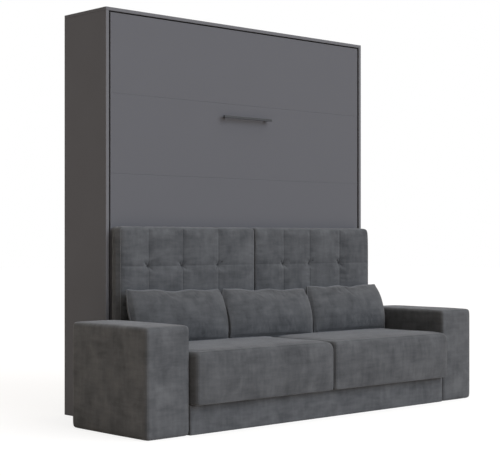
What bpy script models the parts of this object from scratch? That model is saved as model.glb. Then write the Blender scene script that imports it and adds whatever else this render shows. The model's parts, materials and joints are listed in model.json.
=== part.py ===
"""Vertical wall bed with a sofa in front of it.

The bed stands upright in a shallow cabinet and turns down on two pivot pins
near the floor, helped by two gas struts. Its front boards carry the sofa's two
tufted back cushions. The sofa's base and armrests stay where they are, and its
seat cushions and pillows come off before the bed is lowered over the base.

Metres, +Z up. The origin is the middle of the footprint, on the floor. X runs
along the cabinet's width, and the front faces -Y.
"""

import math

import bmesh
import bpy
from mathutils import Vector
from mathutils.bvhtree import BVHTree

# Clearances that all pieces share
GAP = 0.0003
RUNNING_GAP = 0.0005
CUT_OVERRUN = 0.002

# Cabinet
CABINET_WIDTH = 1.975
CABINET_DEPTH = 0.380
CABINET_HEIGHT = 2.175
SIDE_BOARD = 0.020
TOP_BOARD = 0.018
RAIL_BOARD = 0.018
BOARD_ARRIS = 0.001
PLINTH_HEIGHT = 0.100
REAR_RAIL_HEIGHT = 0.120
MIDDLE_RAIL_LEVEL = 1.100
WALL_BRACKET_WIDTH = 0.060
WALL_BRACKET_LEG = 0.045
WALL_BRACKET_STEEL = 0.003
WALL_BRACKET_INSET = 0.350

# Front boards on the bed
SIDE_REVEAL = 0.011
TOP_REVEAL = 0.007
FRONT_INSET = 0.003
FRONT_BOARD = 0.018
FULL_BOARDS = 4
LAST_BOARD_TOP = 0.456
BOARD_SEAM = 0.0003
SEAM_ARRIS = 0.0004

# Handle
HANDLE_DROP = 0.500
HANDLE_LENGTH = 0.370
HANDLE_HEIGHT = 0.014
HANDLE_DEPTH = 0.010
HANDLE_STANDOFF = 0.024
HANDLE_POST = 0.010
HANDLE_POST_INSET = 0.026
HANDLE_ARRIS = 0.001

# Steel bed frame, slats and mattress
BED_LOW_END = 0.120
MATTRESS_SIDE_SPACE = 0.0675
MATTRESS_TOP_SPACE = 0.037
MATTRESS_THICKNESS = 0.160
MATTRESS_ROUND = 0.030
FRAME_OUTSIDE = 0.005
RAIL_WIDTH = 0.030
RAIL_DEPTH = 0.040
TUBE_WALL = 0.0015
SLAT_COUNT = 13
SLAT_WIDTH = 0.070
SLAT_THICKNESS = 0.008
SLAT_BATTEN = 0.028
STRAP_WIDTH = 0.040
STRAP_THICKNESS = 0.002
STRAP_FROM_LOW_END = 0.640
STRAP_FROM_HIGH_END = 0.560

# Pivot and its plates
PIVOT_LEVEL = 0.390
PIN_RADIUS = 0.010
PIN_COLLAR_RADIUS = 0.016
PIN_COLLAR = 0.004
PIN_SHANK_RADIUS = 0.013
PLATE_STEEL = 0.005
PLATE_CORNER = 0.012
WALL_PLATE_LOW = 0.090
WALL_PLATE_HIGH = 0.370
WALL_PLATE_FRONT = 0.026
WALL_PLATE_BACK = 0.125
WALL_PLATE_HOLE = 0.020
BED_PLATE_HIGH = 0.110
BED_PLATE_LOW = 0.165
BED_PLATE_FRONT = 0.018
BED_PLATE_BACK = 0.036

# Gas struts: where their pins sit, counted from the pivot when the bed is up
STRUT_TOP_BACK = 0.0884
STRUT_TOP_UP = 0.3058
STRUT_END_BACK = 0.0186
STRUT_END_DOWN = 0.1287
STRUT_INBOARD = 0.0315
STRUT_EYE_WIDTH = 0.012
STRUT_EYE_RADIUS = 0.012
STRUT_PIN_RADIUS = 0.005
STRUT_PIN_HEAD = 0.003
STRUT_PIN_HEAD_RADIUS = 0.008
CYLINDER_RADIUS = 0.011
CYLINDER_LENGTH = 0.262
CYLINDER_NECK = 0.010
CYLINDER_CAP = 0.050
CYLINDER_CHAMFER = 0.002
ROD_RADIUS = 0.005
ROD_GRIP = 0.045

# Legs that carry the lowered bed's far end
LEG_FROM_HIGH_END = 0.060
LEG_WIDTH = 0.035
LEG_STEEL = 0.005
LEG_FLOOR_GAP = 0.0005
LEG_SIDE_GAP = 0.003
LEG_SHAFT_RADIUS = 0.008

# Sofa base and armrests
SOFA_STANDOFF = 0.045
SOFA_WITHIN_CABINET = 0.0175
BASE_HEIGHT = 0.148
BASE_PANEL = 0.018
BASE_FRONT_PANEL = 0.030
BASE_ROUND = 0.005
ARMREST_WIDTH = 0.262
ARMREST_HEIGHT = 0.540
ARMREST_ROUND = 0.022
TIE_STEEL = 0.003
TIE_FLANGE = 0.040
TIE_HEIGHT = 0.036
TIE_LEVEL = 0.030
TIE_INSET = 0.380

# Seat cushions
SEAT_REACH = 0.700
SEAT_OVERHANG = 0.034
SEAT_BEHIND = 0.094
SEAT_EDGE_HEIGHT = 0.272
SEAT_CROWN = 0.016
SEAT_ROUND = 0.034
SEAT_DRAW = 0.006
SEAT_SIDE_GAP = 0.003

# Tufted back cushions
BACK_LOW = 0.400
BACK_HEIGHT = 0.620
BACK_SIDE_SPACE = 0.0075
BACK_THICKNESS = 0.080
BACK_CROWN = 0.010
BACK_ROUND = 0.020
BACK_DRAW = 0.004
TUFT_COLUMNS = 4
TUFT_ROWS = 3
TUFT_DEPTH = 0.030
TUFT_REACH = 0.034
SEAM_DEPTH = 0.007
SEAM_REACH = 0.012
MIDDLE_GAP = 0.002

# Loose pillows
PILLOW_COUNT = 3
PILLOW_HEIGHT = 0.290
PILLOW_THICKNESS = 0.150
PILLOW_EDGE = 0.010
PILLOWS_SPARE = 0.011
PILLOW_SIDE_GAP = 0.005
PILLOW_DRAW_SIDE = 0.012
PILLOW_DRAW_TOP = 0.010
PILLOW_LEAN = math.radians(26)
PILLOW_GAP = 0.0005

# Places that follow from the sizes above
FRONT = (SEAT_REACH - CABINET_DEPTH) / 2
WALL = FRONT + CABINET_DEPTH
HALF_WIDTH = CABINET_WIDTH / 2
SIDE_INNER = HALF_WIDTH - SIDE_BOARD
TOP_UNDER = CABINET_HEIGHT - TOP_BOARD
BOARD_FACE = FRONT + FRONT_INSET
BOARD_BACK = BOARD_FACE + FRONT_BOARD
RAIL_FACE = BOARD_BACK + GAP
RAIL_BACK = RAIL_FACE + RAIL_DEPTH
SLAT_FACE = RAIL_BACK + GAP
SLAT_BACK = SLAT_FACE + SLAT_THICKNESS
MATTRESS_FACE = SLAT_BACK + GAP
MATTRESS_BACK = MATTRESS_FACE + MATTRESS_THICKNESS
FRONT_HALF = SIDE_INNER - SIDE_REVEAL
FRONT_TOP = TOP_UNDER - TOP_REVEAL
BOARD_PITCH = (FRONT_TOP - LAST_BOARD_TOP) / FULL_BOARDS
HANDLE_LEVEL = FRONT_TOP - HANDLE_DROP
MATTRESS_HALF = SIDE_INNER - MATTRESS_SIDE_SPACE
FRAME_HALF = MATTRESS_HALF + FRAME_OUTSIDE
RAIL_INNER = FRAME_HALF - RAIL_WIDTH
BED_HIGH_END = TOP_UNDER - MATTRESS_TOP_SPACE
MATTRESS_LENGTH = BED_HIGH_END - BED_LOW_END
STRAP_LEVELS = (BED_LOW_END + STRAP_FROM_LOW_END, BED_HIGH_END - STRAP_FROM_HIGH_END)
PIVOT_Y = (RAIL_FACE + RAIL_BACK) / 2
BED_PLATE_INNER = FRAME_HALF + GAP
BED_PLATE_OUTER = BED_PLATE_INNER + PLATE_STEEL
WALL_PLATE_OUTER = SIDE_INNER - GAP
WALL_PLATE_INNER = WALL_PLATE_OUTER - PLATE_STEEL
STRUT_X = SIDE_INNER - STRUT_INBOARD
STRUT_TOP = Vector((0, PIVOT_Y + STRUT_TOP_BACK, PIVOT_LEVEL + STRUT_TOP_UP))
STRUT_END = Vector((0, PIVOT_Y + STRUT_END_BACK, PIVOT_LEVEL - STRUT_END_DOWN))
STRUT_RUN = STRUT_END - STRUT_TOP
STRUT_LENGTH = STRUT_RUN.length
STRUT_TILT = math.atan2(STRUT_RUN.y, -STRUT_RUN.z)
LEG_LEVEL = BED_HIGH_END - LEG_FROM_HIGH_END
LEG_OUTER = SIDE_INNER - LEG_SIDE_GAP
LEG_INNER = LEG_OUTER - LEG_STEEL
LEG_LENGTH = PIVOT_LEVEL - LEG_FLOOR_GAP
SOFA_BACK = FRONT - SOFA_STANDOFF
SOFA_FRONT = FRONT - SEAT_REACH + SEAT_OVERHANG
SOFA_HALF = HALF_WIDTH - SOFA_WITHIN_CABINET
BASE_HALF = SOFA_HALF - GAP
BACK_HALF_WIDTH = SIDE_INNER - BACK_SIDE_SPACE
PILLOW_PITCH = (2 * SOFA_HALF - PILLOWS_SPARE) / PILLOW_COUNT
PILLOW_WIDTH = PILLOW_PITCH - PILLOW_SIDE_GAP

SIDES = (("left", -1), ("right", 1))
ROUND_STEPS = 24
# Turns a flat outline so that its X runs along the part's Y, its Y along Z, and its thickness along X
ON_EDGE = (math.pi / 2, 0, math.pi / 2)


def clear_scene():
    for obj in list(bpy.data.objects):
        bpy.data.objects.remove(obj, do_unlink=True)


def make_collection(name):
    collection = bpy.data.collections.new(name)
    bpy.context.scene.collection.children.link(collection)
    return collection


clear_scene()
PARTS = make_collection("wall_bed_with_sofa")
CUTTERS = make_collection("cutters")
CUTTERS.hide_render = True


def make_material(name, colour, roughness, metallic=0.0):
    material = bpy.data.materials.new(name)
    material.use_nodes = True
    shader = material.node_tree.nodes["Principled BSDF"]
    shader.inputs["Base Color"].default_value = (*colour, 1)
    shader.inputs["Roughness"].default_value = roughness
    shader.inputs["Metallic"].default_value = metallic
    return material


GRAPHITE_BOARD = make_material("graphite_board", (0.130, 0.132, 0.140), 0.55)
VELVET = make_material("grey_velvet", (0.085, 0.089, 0.096), 0.90)
BLACK_STEEL = make_material("black_steel", (0.012, 0.012, 0.013), 0.40, 0.6)
FRAME_STEEL = make_material("frame_steel", (0.060, 0.062, 0.066), 0.45, 0.5)
BRIGHT_STEEL = make_material("bright_steel", (0.560, 0.570, 0.580), 0.30, 1.0)
STRUT_BLACK = make_material("strut_black", (0.010, 0.010, 0.011), 0.35, 0.4)
SLAT_WOOD = make_material("slat_wood", (0.600, 0.430, 0.250), 0.60)
TICKING = make_material("mattress_ticking", (0.800, 0.790, 0.760), 0.90)
WEBBING = make_material("strap_webbing", (0.020, 0.020, 0.022), 0.90)


def add_empty(name, place, parent=None, tilt=0.0):
    empty = bpy.data.objects.new(name, None)
    PARTS.objects.link(empty)
    empty.parent = parent
    empty.location = Vector(place) - origin_of(parent)
    empty.rotation_euler.x = tilt
    return empty


def origin_of(parent):
    """Where an unturned parent stands in the part's own frame."""
    place = Vector((0, 0, 0))
    while parent:
        place += parent.location
        parent = parent.parent
    return place


def add_object(name, data, material, place, parent=None, collection=PARTS):
    """Links an object whose origin stands at place in the part's own frame."""
    obj = bpy.data.objects.new(name, data)
    collection.objects.link(obj)
    obj.parent = parent
    obj.location = Vector(place) - origin_of(parent)
    if material:
        data.materials.append(material)
    return obj


def block_mesh(name, size):
    """A box of this size about its own centre."""
    shape = bmesh.new()
    bmesh.ops.create_cube(shape, size=1)
    bmesh.ops.scale(shape, vec=size, verts=shape.verts)
    mesh = bpy.data.meshes.new(name)
    shape.to_mesh(mesh)
    shape.free()
    return mesh


def add_bevel(obj, width, segments):
    bevel = obj.modifiers.new("rounded_edges", "BEVEL")
    bevel.width = width
    bevel.segments = segments
    bevel.limit_method = "ANGLE"


def board(name, low, high, material, parent=None, edge=BOARD_ARRIS, segments=1):
    """A rectangular piece from its lowest to its highest corner."""
    low, high = Vector(low), Vector(high)
    obj = add_object(name, block_mesh(name, high - low), material, (low + high) / 2, parent)
    if edge:
        add_bevel(obj, edge, segments)
    return obj


def square_tube(name, low, high, axis, material, parent=None):
    """A rectangular steel tube, open at both ends along its axis."""
    low, high = Vector(low), Vector(high)
    shape = bmesh.new()
    bmesh.ops.create_cube(shape, size=1)
    bmesh.ops.scale(shape, vec=high - low, verts=shape.verts)
    ends = [face for face in shape.faces if abs(face.normal[axis]) > abs(face.normal.length) / 2]
    bmesh.ops.delete(shape, geom=ends, context="FACES_ONLY")
    mesh = bpy.data.meshes.new(name)
    shape.to_mesh(mesh)
    shape.free()
    obj = add_object(name, mesh, material, (low + high) / 2, parent)
    wall = obj.modifiers.new("tube_wall", "SOLIDIFY")
    wall.thickness = TUBE_WALL
    wall.offset = -1
    return obj


def round_bar(name, radius, length, along, material, place, parent=None, collection=PARTS):
    """A round bar about its own centre, along "X" or "Z"."""
    shape = bmesh.new()
    bmesh.ops.create_cone(
        shape, cap_ends=True, segments=ROUND_STEPS, radius1=radius, radius2=radius, depth=length
    )
    mesh = bpy.data.meshes.new(name)
    shape.to_mesh(mesh)
    shape.free()
    mesh.shade_smooth()
    mesh.set_sharp_from_angle(angle=math.radians(40))
    obj = add_object(name, mesh, material, place, parent, collection)
    if along == "X":
        obj.rotation_euler.y = math.pi / 2
    return obj


def turned(name, profile, material, place, parent=None):
    """A turned piece about its local Z. The profile's (radius, height) points run from top to bottom."""
    mesh = bpy.data.meshes.new(name)
    points = [(radius, 0, height) for radius, height in profile]
    mesh.from_pydata(points, [(i, i + 1) for i in range(len(points) - 1)], [])
    obj = add_object(name, mesh, material, place, parent)
    screw = obj.modifiers.new("turned", "SCREW")
    screw.axis = "Z"
    screw.steps = ROUND_STEPS
    screw.render_steps = ROUND_STEPS
    screw.use_merge_vertices = True
    screw.merge_threshold = 0.0001
    screw.use_smooth_shade = True
    return obj


def flat_plate(name, outline, holes, thickness, material, place, parent=None):
    """A flat outline with round holes, given as (y, z, radius), standing on edge in the YZ plane."""
    curve = bpy.data.curves.new(name, "CURVE")
    curve.dimensions = "2D"
    curve.fill_mode = "BOTH"
    curve.extrude = thickness / 2
    loops = [outline] + [circle_points(y, z, radius) for y, z, radius in holes]
    for loop in loops:
        spline = curve.splines.new("POLY")
        spline.points.add(len(loop) - 1)
        for point, (y, z) in zip(spline.points, loop):
            point.co = (y, z, 0, 1)
        spline.use_cyclic_u = True
    obj = add_object(name, curve, material, place, parent)
    obj.rotation_euler = ON_EDGE
    return obj


def circle_points(y, z, radius, start=0.0, turn=2 * math.pi, steps=ROUND_STEPS, closed=True):
    count = steps if closed else steps + 1
    angles = [start + turn * i / steps for i in range(count)]
    return [(y + radius * math.cos(a), z + radius * math.sin(a)) for a in angles]


def rounded_outline(low_y, low_z, high_y, high_z, radius):
    """A rectangle with round corners, as (y, z) points."""
    centres = (
        (high_y - radius, high_z - radius, 0),
        (low_y + radius, high_z - radius, 1),
        (low_y + radius, low_z + radius, 2),
        (high_y - radius, low_z + radius, 3),
    )
    points = []
    for y, z, quarter in centres:
        start = quarter * math.pi / 2
        points += circle_points(y, z, radius, start, math.pi / 2, steps=4, closed=False)
    return points


def as_mesh(obj):
    """Makes a curve object a mesh object with its caps welded, and returns the new object."""
    bpy.context.view_layer.update()
    graph = bpy.context.evaluated_depsgraph_get()
    mesh = bpy.data.meshes.new_from_object(obj.evaluated_get(graph))
    shape = bmesh.new()
    shape.from_mesh(mesh)
    bmesh.ops.remove_doubles(shape, verts=shape.verts, dist=GAP / 10)
    shape.to_mesh(mesh)
    shape.free()
    name, parent, matrix = obj.name, obj.parent, obj.matrix_world.copy()
    bpy.data.objects.remove(obj, do_unlink=True)
    new = bpy.data.objects.new(name, mesh)
    PARTS.objects.link(new)
    new.parent = parent
    new.matrix_world = matrix
    return new


def boolean(obj, other, operation):
    """Cuts or joins obj with another object, which becomes a guide that isn't part of the model."""
    for collection in list(other.users_collection):
        collection.objects.unlink(other)
    CUTTERS.objects.link(other)
    other.hide_render = True
    other.display_type = "WIRE"
    modifier = obj.modifiers.new(operation.lower(), "BOOLEAN")
    modifier.operation = operation
    modifier.solver = "EXACT"
    modifier.object = other


def cross_hole(obj, x, width, place, radius):
    """Drills a hole along X through a piece that spans this width about x."""
    length = width + 2 * CUT_OVERRUN
    cutter = round_bar(obj.name + "_hole", radius, length, "X", None, (x, place[1], place[2]))
    boolean(obj, cutter, "DIFFERENCE")


# Soft forms start as a block cut into a grid, whose points are then moved by a rule

def soft_block(name, size, cuts, round_radius, round_steps, rule, material, place, parent=None):
    """A padded block. cuts gives the number of strips along X, Y and Z, and rule moves each point."""
    shape = bmesh.new()
    bmesh.ops.create_cube(shape, size=1)
    bmesh.ops.scale(shape, vec=size, verts=shape.verts)
    for axis, count in enumerate(cuts):
        normal = Vector((axis == 0, axis == 1, axis == 2))
        for i in range(1, count):
            plane = normal * size[axis] * (i / count - 1 / 2)
            geometry = shape.verts[:] + shape.edges[:] + shape.faces[:]
            bmesh.ops.bisect_plane(shape, geom=geometry, dist=GAP / 10, plane_co=plane, plane_no=normal)
    if round_radius:
        corners = [edge for edge in shape.edges if edge.calc_face_angle() > math.pi / 4]
        bmesh.ops.bevel(
            shape, geom=corners, offset=round_radius, segments=round_steps, profile=1 / 2,
            affect="EDGES", clamp_overlap=False,
        )
    half = Vector(size) / 2
    for vert in shape.verts:
        shares = [max(-1.0, min(1.0, vert.co[i] / half[i])) for i in range(3)]
        vert.co += Vector(rule(*shares))
    bmesh.ops.recalc_face_normals(shape, faces=shape.faces)
    mesh = bpy.data.meshes.new(name)
    shape.to_mesh(mesh)
    shape.free()
    mesh.shade_smooth()
    return add_object(name, mesh, material, place, parent)


def dome(u, v, power=2):
    """1 in the middle of a square face and 0 along its edges."""
    return (1 - abs(u) ** power) * (1 - abs(v) ** power)


def seat_rule(u, v, w):
    """Crowned on top, flat below, its front a little full and its other sides drawn in between the corners."""
    top_share = (1 + w) / 2
    belly = 1 - w * w
    rise = SEAT_CROWN * dome(u, v, 3) * top_share ** 3
    across = -SEAT_DRAW * u * (1 - v * v) * (1 - belly)
    along = -SEAT_DRAW * v * (1 - u * u) * (1 - belly)
    return across, along, rise


def back_rule(u, v, w):
    """Flat against the boards, with a tufted front of puffed panels between sewn channels."""
    front_share = max(0.0, -v)
    column = (u + 1) / 2 * TUFT_COLUMNS
    row = (w + 1) / 2 * TUFT_ROWS
    panel_u = 2 * (column - math.floor(min(column, TUFT_COLUMNS - GAP))) - 1
    panel_w = 2 * (row - math.floor(min(row, TUFT_ROWS - GAP))) - 1
    puff = BACK_CROWN * dome(panel_u, panel_w)
    sunk = 0.0
    for i in range(1, TUFT_COLUMNS):
        seam_away = abs(column - i) / TUFT_COLUMNS * (BACK_HALF_WIDTH - MIDDLE_GAP / 2)
        sunk = max(sunk, SEAM_DEPTH * math.exp(-((seam_away / SEAM_REACH) ** 2)))
        for j in range(1, TUFT_ROWS):
            row_away = abs(row - j) / TUFT_ROWS * BACK_HEIGHT
            sunk = max(sunk, SEAM_DEPTH * math.exp(-((row_away / SEAM_REACH) ** 2)) / 2)
            away = math.hypot(seam_away, row_away)
            sunk = max(sunk, TUFT_DEPTH * math.exp(-((away / TUFT_REACH) ** 2)))
    across = -BACK_DRAW * u * (1 - w * w) * front_share
    up = -BACK_DRAW * w * (1 - u * u) * front_share
    return across, -(puff - sunk) * front_share, up


def pillow_rule(u, v, w):
    """Full in the middle and thin at the edges, which draw in between the pointed corners."""
    full = dome(u, w, 4) ** (1 / 2)
    swell = (PILLOW_THICKNESS - PILLOW_EDGE) / 2 * full * (1 if v > 0 else -1 if v < 0 else 0)
    across = -PILLOW_DRAW_SIDE * u * (1 - w * w)
    up = -PILLOW_DRAW_TOP * w * (1 - u * u)
    return across, swell, up


# Cabinet

def build_cabinet():
    for side, sign in SIDES:
        outer, inner = sign * HALF_WIDTH, sign * SIDE_INNER
        board(
            f"cabinet_side_{side}",
            (min(outer, inner), FRONT, 0),
            (max(outer, inner), WALL, TOP_UNDER - GAP),
            GRAPHITE_BOARD,
        )
    board("cabinet_top", (-HALF_WIDTH, FRONT, TOP_UNDER), (HALF_WIDTH, WALL, CABINET_HEIGHT), GRAPHITE_BOARD)
    reach = SIDE_INNER - GAP
    plinth_back = BOARD_FACE + RAIL_BOARD
    board("cabinet_plinth", (-reach, BOARD_FACE, 0), (reach, plinth_back, PLINTH_HEIGHT), GRAPHITE_BOARD)
    rail_face = WALL - RAIL_BOARD
    rail_levels = {
        "rear_rail_bottom": 0,
        "rear_rail_middle": MIDDLE_RAIL_LEVEL,
        "rear_rail_top": TOP_UNDER - GAP - REAR_RAIL_HEIGHT,
    }
    for name, level in rail_levels.items():
        top = level + REAR_RAIL_HEIGHT
        board(name, (-reach, rail_face, level), (reach, WALL, top), GRAPHITE_BOARD)
    for side, sign in SIDES:
        centre = sign * (HALF_WIDTH - WALL_BRACKET_INSET)
        wall_bracket(f"wall_bracket_{side}", centre, rail_face - GAP, TOP_UNDER - GAP)


def wall_bracket(name, x, back, top):
    """An angle under the top board and against the rear rail, through which the cabinet is screwed to the wall."""
    leg, steel = WALL_BRACKET_LEG, WALL_BRACKET_STEEL
    outline = [(0, 0), (-leg, 0), (-leg, -steel), (-steel, -steel), (-steel, -leg), (0, -leg)]
    flat_plate(name, outline, [], WALL_BRACKET_WIDTH, BRIGHT_STEEL, (x, back, top))


# Steel plates, pins and struts that carry the bed

def build_pivots():
    for side, sign in SIDES:
        plate_x = sign * (WALL_PLATE_INNER + PLATE_STEEL / 2)
        low_z, high_z = -WALL_PLATE_LOW, WALL_PLATE_HIGH
        outline = rounded_outline(-WALL_PLATE_FRONT, low_z, WALL_PLATE_BACK, high_z, PLATE_CORNER)
        middle_y = (WALL_PLATE_BACK - WALL_PLATE_FRONT) / 2
        span = STRUT_TOP_UP
        holes = [(middle_y, span * share, WALL_PLATE_HOLE) for share in (1 / 4, 1 / 2, 3 / 4)]
        place = (plate_x, PIVOT_Y, PIVOT_LEVEL)
        flat_plate(f"pivot_plate_{side}", outline, holes, PLATE_STEEL, FRAME_STEEL, place)
        pivot_pin(f"pivot_pin_{side}", sign)
        strut_pin(f"strut_pin_{side}", sign)


def face_outward(obj, sign):
    """Turns a piece's local Z so that it points away from the bed's middle."""
    obj.rotation_euler.y = sign * math.pi / 2


def pivot_pin(name, sign):
    """The pin on which the bed turns: a shank from the wall plate, a collar and the journal."""
    reach = WALL_PLATE_INNER - GAP - BED_PLATE_INNER
    collar_low = BED_PLATE_OUTER + GAP - BED_PLATE_INNER
    collar_high = collar_low + PIN_COLLAR
    profile = [
        (0, reach),
        (PIN_SHANK_RADIUS, reach),
        (PIN_SHANK_RADIUS, collar_high),
        (PIN_COLLAR_RADIUS, collar_high),
        (PIN_COLLAR_RADIUS, collar_low),
        (PIN_RADIUS, collar_low),
        (PIN_RADIUS, 0),
        (0, 0),
    ]
    pin = turned(name, profile, BRIGHT_STEEL, (sign * BED_PLATE_INNER, PIVOT_Y, PIVOT_LEVEL))
    face_outward(pin, sign)


def strut_pin(name, sign):
    """The stud on the wall plate that the gas strut's upper eye turns on, with a head that keeps it there."""
    inner = STRUT_X - STRUT_EYE_WIDTH / 2 - RUNNING_GAP - STRUT_PIN_HEAD
    reach = WALL_PLATE_INNER - GAP - inner
    shoulder = STRUT_EYE_WIDTH + 2 * RUNNING_GAP + STRUT_PIN_HEAD
    profile = [
        (0, reach),
        (STRUT_PIN_HEAD_RADIUS, reach),
        (STRUT_PIN_HEAD_RADIUS, shoulder),
        (STRUT_PIN_RADIUS, shoulder),
        (STRUT_PIN_RADIUS, STRUT_PIN_HEAD),
        (STRUT_PIN_HEAD_RADIUS, STRUT_PIN_HEAD),
        (STRUT_PIN_HEAD_RADIUS, 0),
        (0, 0),
    ]
    pin = turned(name, profile, BRIGHT_STEEL, (sign * inner, STRUT_TOP.y, STRUT_TOP.z))
    face_outward(pin, sign)


def strut_eye(obj, name, x, drop):
    """Joins a flat eye, whose hole runs along X, to a strut piece at this distance down its axis."""
    blank = round_bar(name + "_blank", STRUT_EYE_RADIUS, STRUT_EYE_WIDTH, "X", None, (x, 0, -drop))
    hole = round_bar(
        name + "_bore",
        STRUT_PIN_RADIUS + RUNNING_GAP,
        STRUT_EYE_WIDTH + 2 * CUT_OVERRUN,
        "X",
        None,
        (x, 0, -drop),
    )
    for tool, operation in ((blank, "UNION"), (hole, "DIFFERENCE")):
        tool.parent = obj.parent
        tool.location = (0, 0, -drop)
        boolean(obj, tool, operation)


def build_struts():
    """Two gas struts. Each cylinder hangs from its upper pin, and its rod slides in and out of it."""
    for side, sign in SIDES:
        hinge = add_empty(
            f"strut_hinge_{side}",
            (sign * STRUT_X, STRUT_TOP.y, STRUT_TOP.z),
            tilt=STRUT_TILT,
        )
        bore = ROD_RADIUS + RUNNING_GAP
        top, low = -CYLINDER_NECK, -CYLINDER_LENGTH
        profile = [
            (0, top),
            (CYLINDER_RADIUS - CYLINDER_CHAMFER, top),
            (CYLINDER_RADIUS, top - CYLINDER_CHAMFER),
            (CYLINDER_RADIUS, low + CYLINDER_CHAMFER),
            (CYLINDER_RADIUS - CYLINDER_CHAMFER, low),
            (bore, low),
            (bore, -CYLINDER_CAP),
            (0, -CYLINDER_CAP),
        ]
        cylinder = turned(f"strut_cylinder_{side}", profile, STRUT_BLACK, (0, 0, 0))
        strut_eye(in_strut(cylinder, hinge, 0), cylinder.name, 0, 0)
        rod_top = CYLINDER_LENGTH - ROD_GRIP
        rod_low = STRUT_LENGTH - STRUT_EYE_RADIUS / 2
        length = rod_low - rod_top
        rod = round_bar(f"strut_rod_{side}", ROD_RADIUS, length, "Z", BRIGHT_STEEL, (0, 0, 0))
        strut_eye(in_strut(rod, hinge, rod_top + length / 2), rod.name, 0, STRUT_LENGTH)


def in_strut(obj, hinge, drop):
    """Hangs a piece in its strut's own tilted frame, this far down the axis."""
    obj.parent = hinge
    obj.location = (0, 0, -drop)
    return obj


# Bed

def build_bed(bed):
    build_front_boards(bed)
    build_handle(bed)
    build_frame(bed)
    board(
        "mattress",
        (-MATTRESS_HALF, MATTRESS_FACE, BED_LOW_END),
        (MATTRESS_HALF, MATTRESS_BACK, BED_HIGH_END),
        TICKING,
        bed,
        MATTRESS_ROUND,
        3,
    )
    for name, level in zip(("mattress_strap_lower", "mattress_strap_upper"), STRAP_LEVELS):
        mattress_strap(name, level, bed)
    width = BACK_HALF_WIDTH - MIDDLE_GAP / 2
    size = (width, BACK_THICKNESS, BACK_HEIGHT)
    cuts = (5 * TUFT_COLUMNS, 1, 5 * TUFT_ROWS)
    for side, sign in SIDES:
        place = (
            sign * (MIDDLE_GAP + width) / 2,
            BOARD_FACE - GAP - BACK_THICKNESS / 2,
            BACK_LOW + BACK_HEIGHT / 2,
        )
        soft_block(f"back_cushion_{side}", size, cuts, BACK_ROUND, 2, back_rule, VELVET, place, bed)


def build_front_boards(bed):
    """Four full boards and a shorter one below, with a fine seam between each two."""
    tops = [FRONT_TOP - i * BOARD_PITCH for i in range(FULL_BOARDS + 1)]
    lows = [top - BOARD_PITCH + BOARD_SEAM for top in tops[:-1]] + [BED_LOW_END]
    for number, (top, low) in enumerate(zip(tops, lows), 1):
        corner, opposite = (-FRONT_HALF, BOARD_FACE, low), (FRONT_HALF, BOARD_BACK, top)
        board(f"front_board_{number}", corner, opposite, GRAPHITE_BOARD, bed, SEAM_ARRIS)


def build_handle(bed):
    bar_back = BOARD_FACE - HANDLE_STANDOFF
    bar_front = bar_back - HANDLE_DEPTH
    half, rise = HANDLE_LENGTH / 2, HANDLE_HEIGHT / 2
    low, high = HANDLE_LEVEL - rise, HANDLE_LEVEL + rise
    board("handle_bar", (-half, bar_front, low), (half, bar_back, high), BLACK_STEEL, bed, HANDLE_ARRIS)
    for side, sign in SIDES:
        x = sign * (half - HANDLE_POST_INSET)
        reach = HANDLE_POST / 2
        corner = (x - reach, bar_back + GAP, HANDLE_LEVEL - reach)
        opposite = (x + reach, BOARD_FACE - GAP, HANDLE_LEVEL + reach)
        board(f"handle_post_{side}", corner, opposite, BLACK_STEEL, bed, HANDLE_ARRIS)


def build_frame(bed):
    """Side rails, two cross tubes, a centre beam and the slat frame."""
    shaft = (0, PIVOT_Y, LEG_LEVEL)
    hole = LEG_SHAFT_RADIUS + RUNNING_GAP
    for side, sign in SIDES:
        inner, outer = sorted((sign * RAIL_INNER, sign * FRAME_HALF))
        low, high = (inner, RAIL_FACE, BED_LOW_END), (outer, RAIL_BACK, BED_HIGH_END)
        rail = square_tube(f"bed_rail_{side}", low, high, 2, FRAME_STEEL, bed)
        cross_hole(rail, (inner + outer) / 2, RAIL_WIDTH, shaft, hole)
        bed_plate(f"bed_plate_{side}", sign, bed)
    reach = RAIL_INNER - GAP
    for name, low_z in (("bed_tube_head", BED_LOW_END), ("bed_tube_foot", BED_HIGH_END - RAIL_WIDTH)):
        low, high = (-reach, RAIL_FACE, low_z), (reach, RAIL_BACK, low_z + RAIL_WIDTH)
        square_tube(name, low, high, 0, FRAME_STEEL, bed)
    half = RAIL_WIDTH / 2
    low = (-half, RAIL_FACE, BED_LOW_END + RAIL_WIDTH + GAP)
    high = (half, RAIL_BACK, BED_HIGH_END - RAIL_WIDTH - GAP)
    beam = square_tube("bed_centre_beam", low, high, 2, FRAME_STEEL, bed)
    cross_hole(beam, 0, RAIL_WIDTH, shaft, hole)
    slat_frame(bed)


def bed_plate(name, sign, bed):
    """The plate on the rail that turns on the pivot pin, with the stud for the strut's lower eye."""
    plate_x = sign * (BED_PLATE_INNER + PLATE_STEEL / 2)
    outline = rounded_outline(
        -BED_PLATE_FRONT, -BED_PLATE_LOW, BED_PLATE_BACK, BED_PLATE_HIGH, PLATE_CORNER
    )
    holes = [(0, 0, PIN_RADIUS + RUNNING_GAP)]
    place = (plate_x, PIVOT_Y, PIVOT_LEVEL)
    plate = as_mesh(flat_plate(name, outline, holes, PLATE_STEEL, FRAME_STEEL, place, bed))
    stud_low = BED_PLATE_INNER + PLATE_STEEL / 2
    stud_high = STRUT_X - STRUT_EYE_WIDTH / 2 - RUNNING_GAP
    stud_x = sign * (stud_low + stud_high) / 2
    stud = round_bar(
        name + "_stud",
        STRUT_PIN_RADIUS,
        stud_high - stud_low,
        "X",
        None,
        (stud_x, STRUT_END.y, STRUT_END.z),
    )
    boolean(plate, stud, "UNION")


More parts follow.
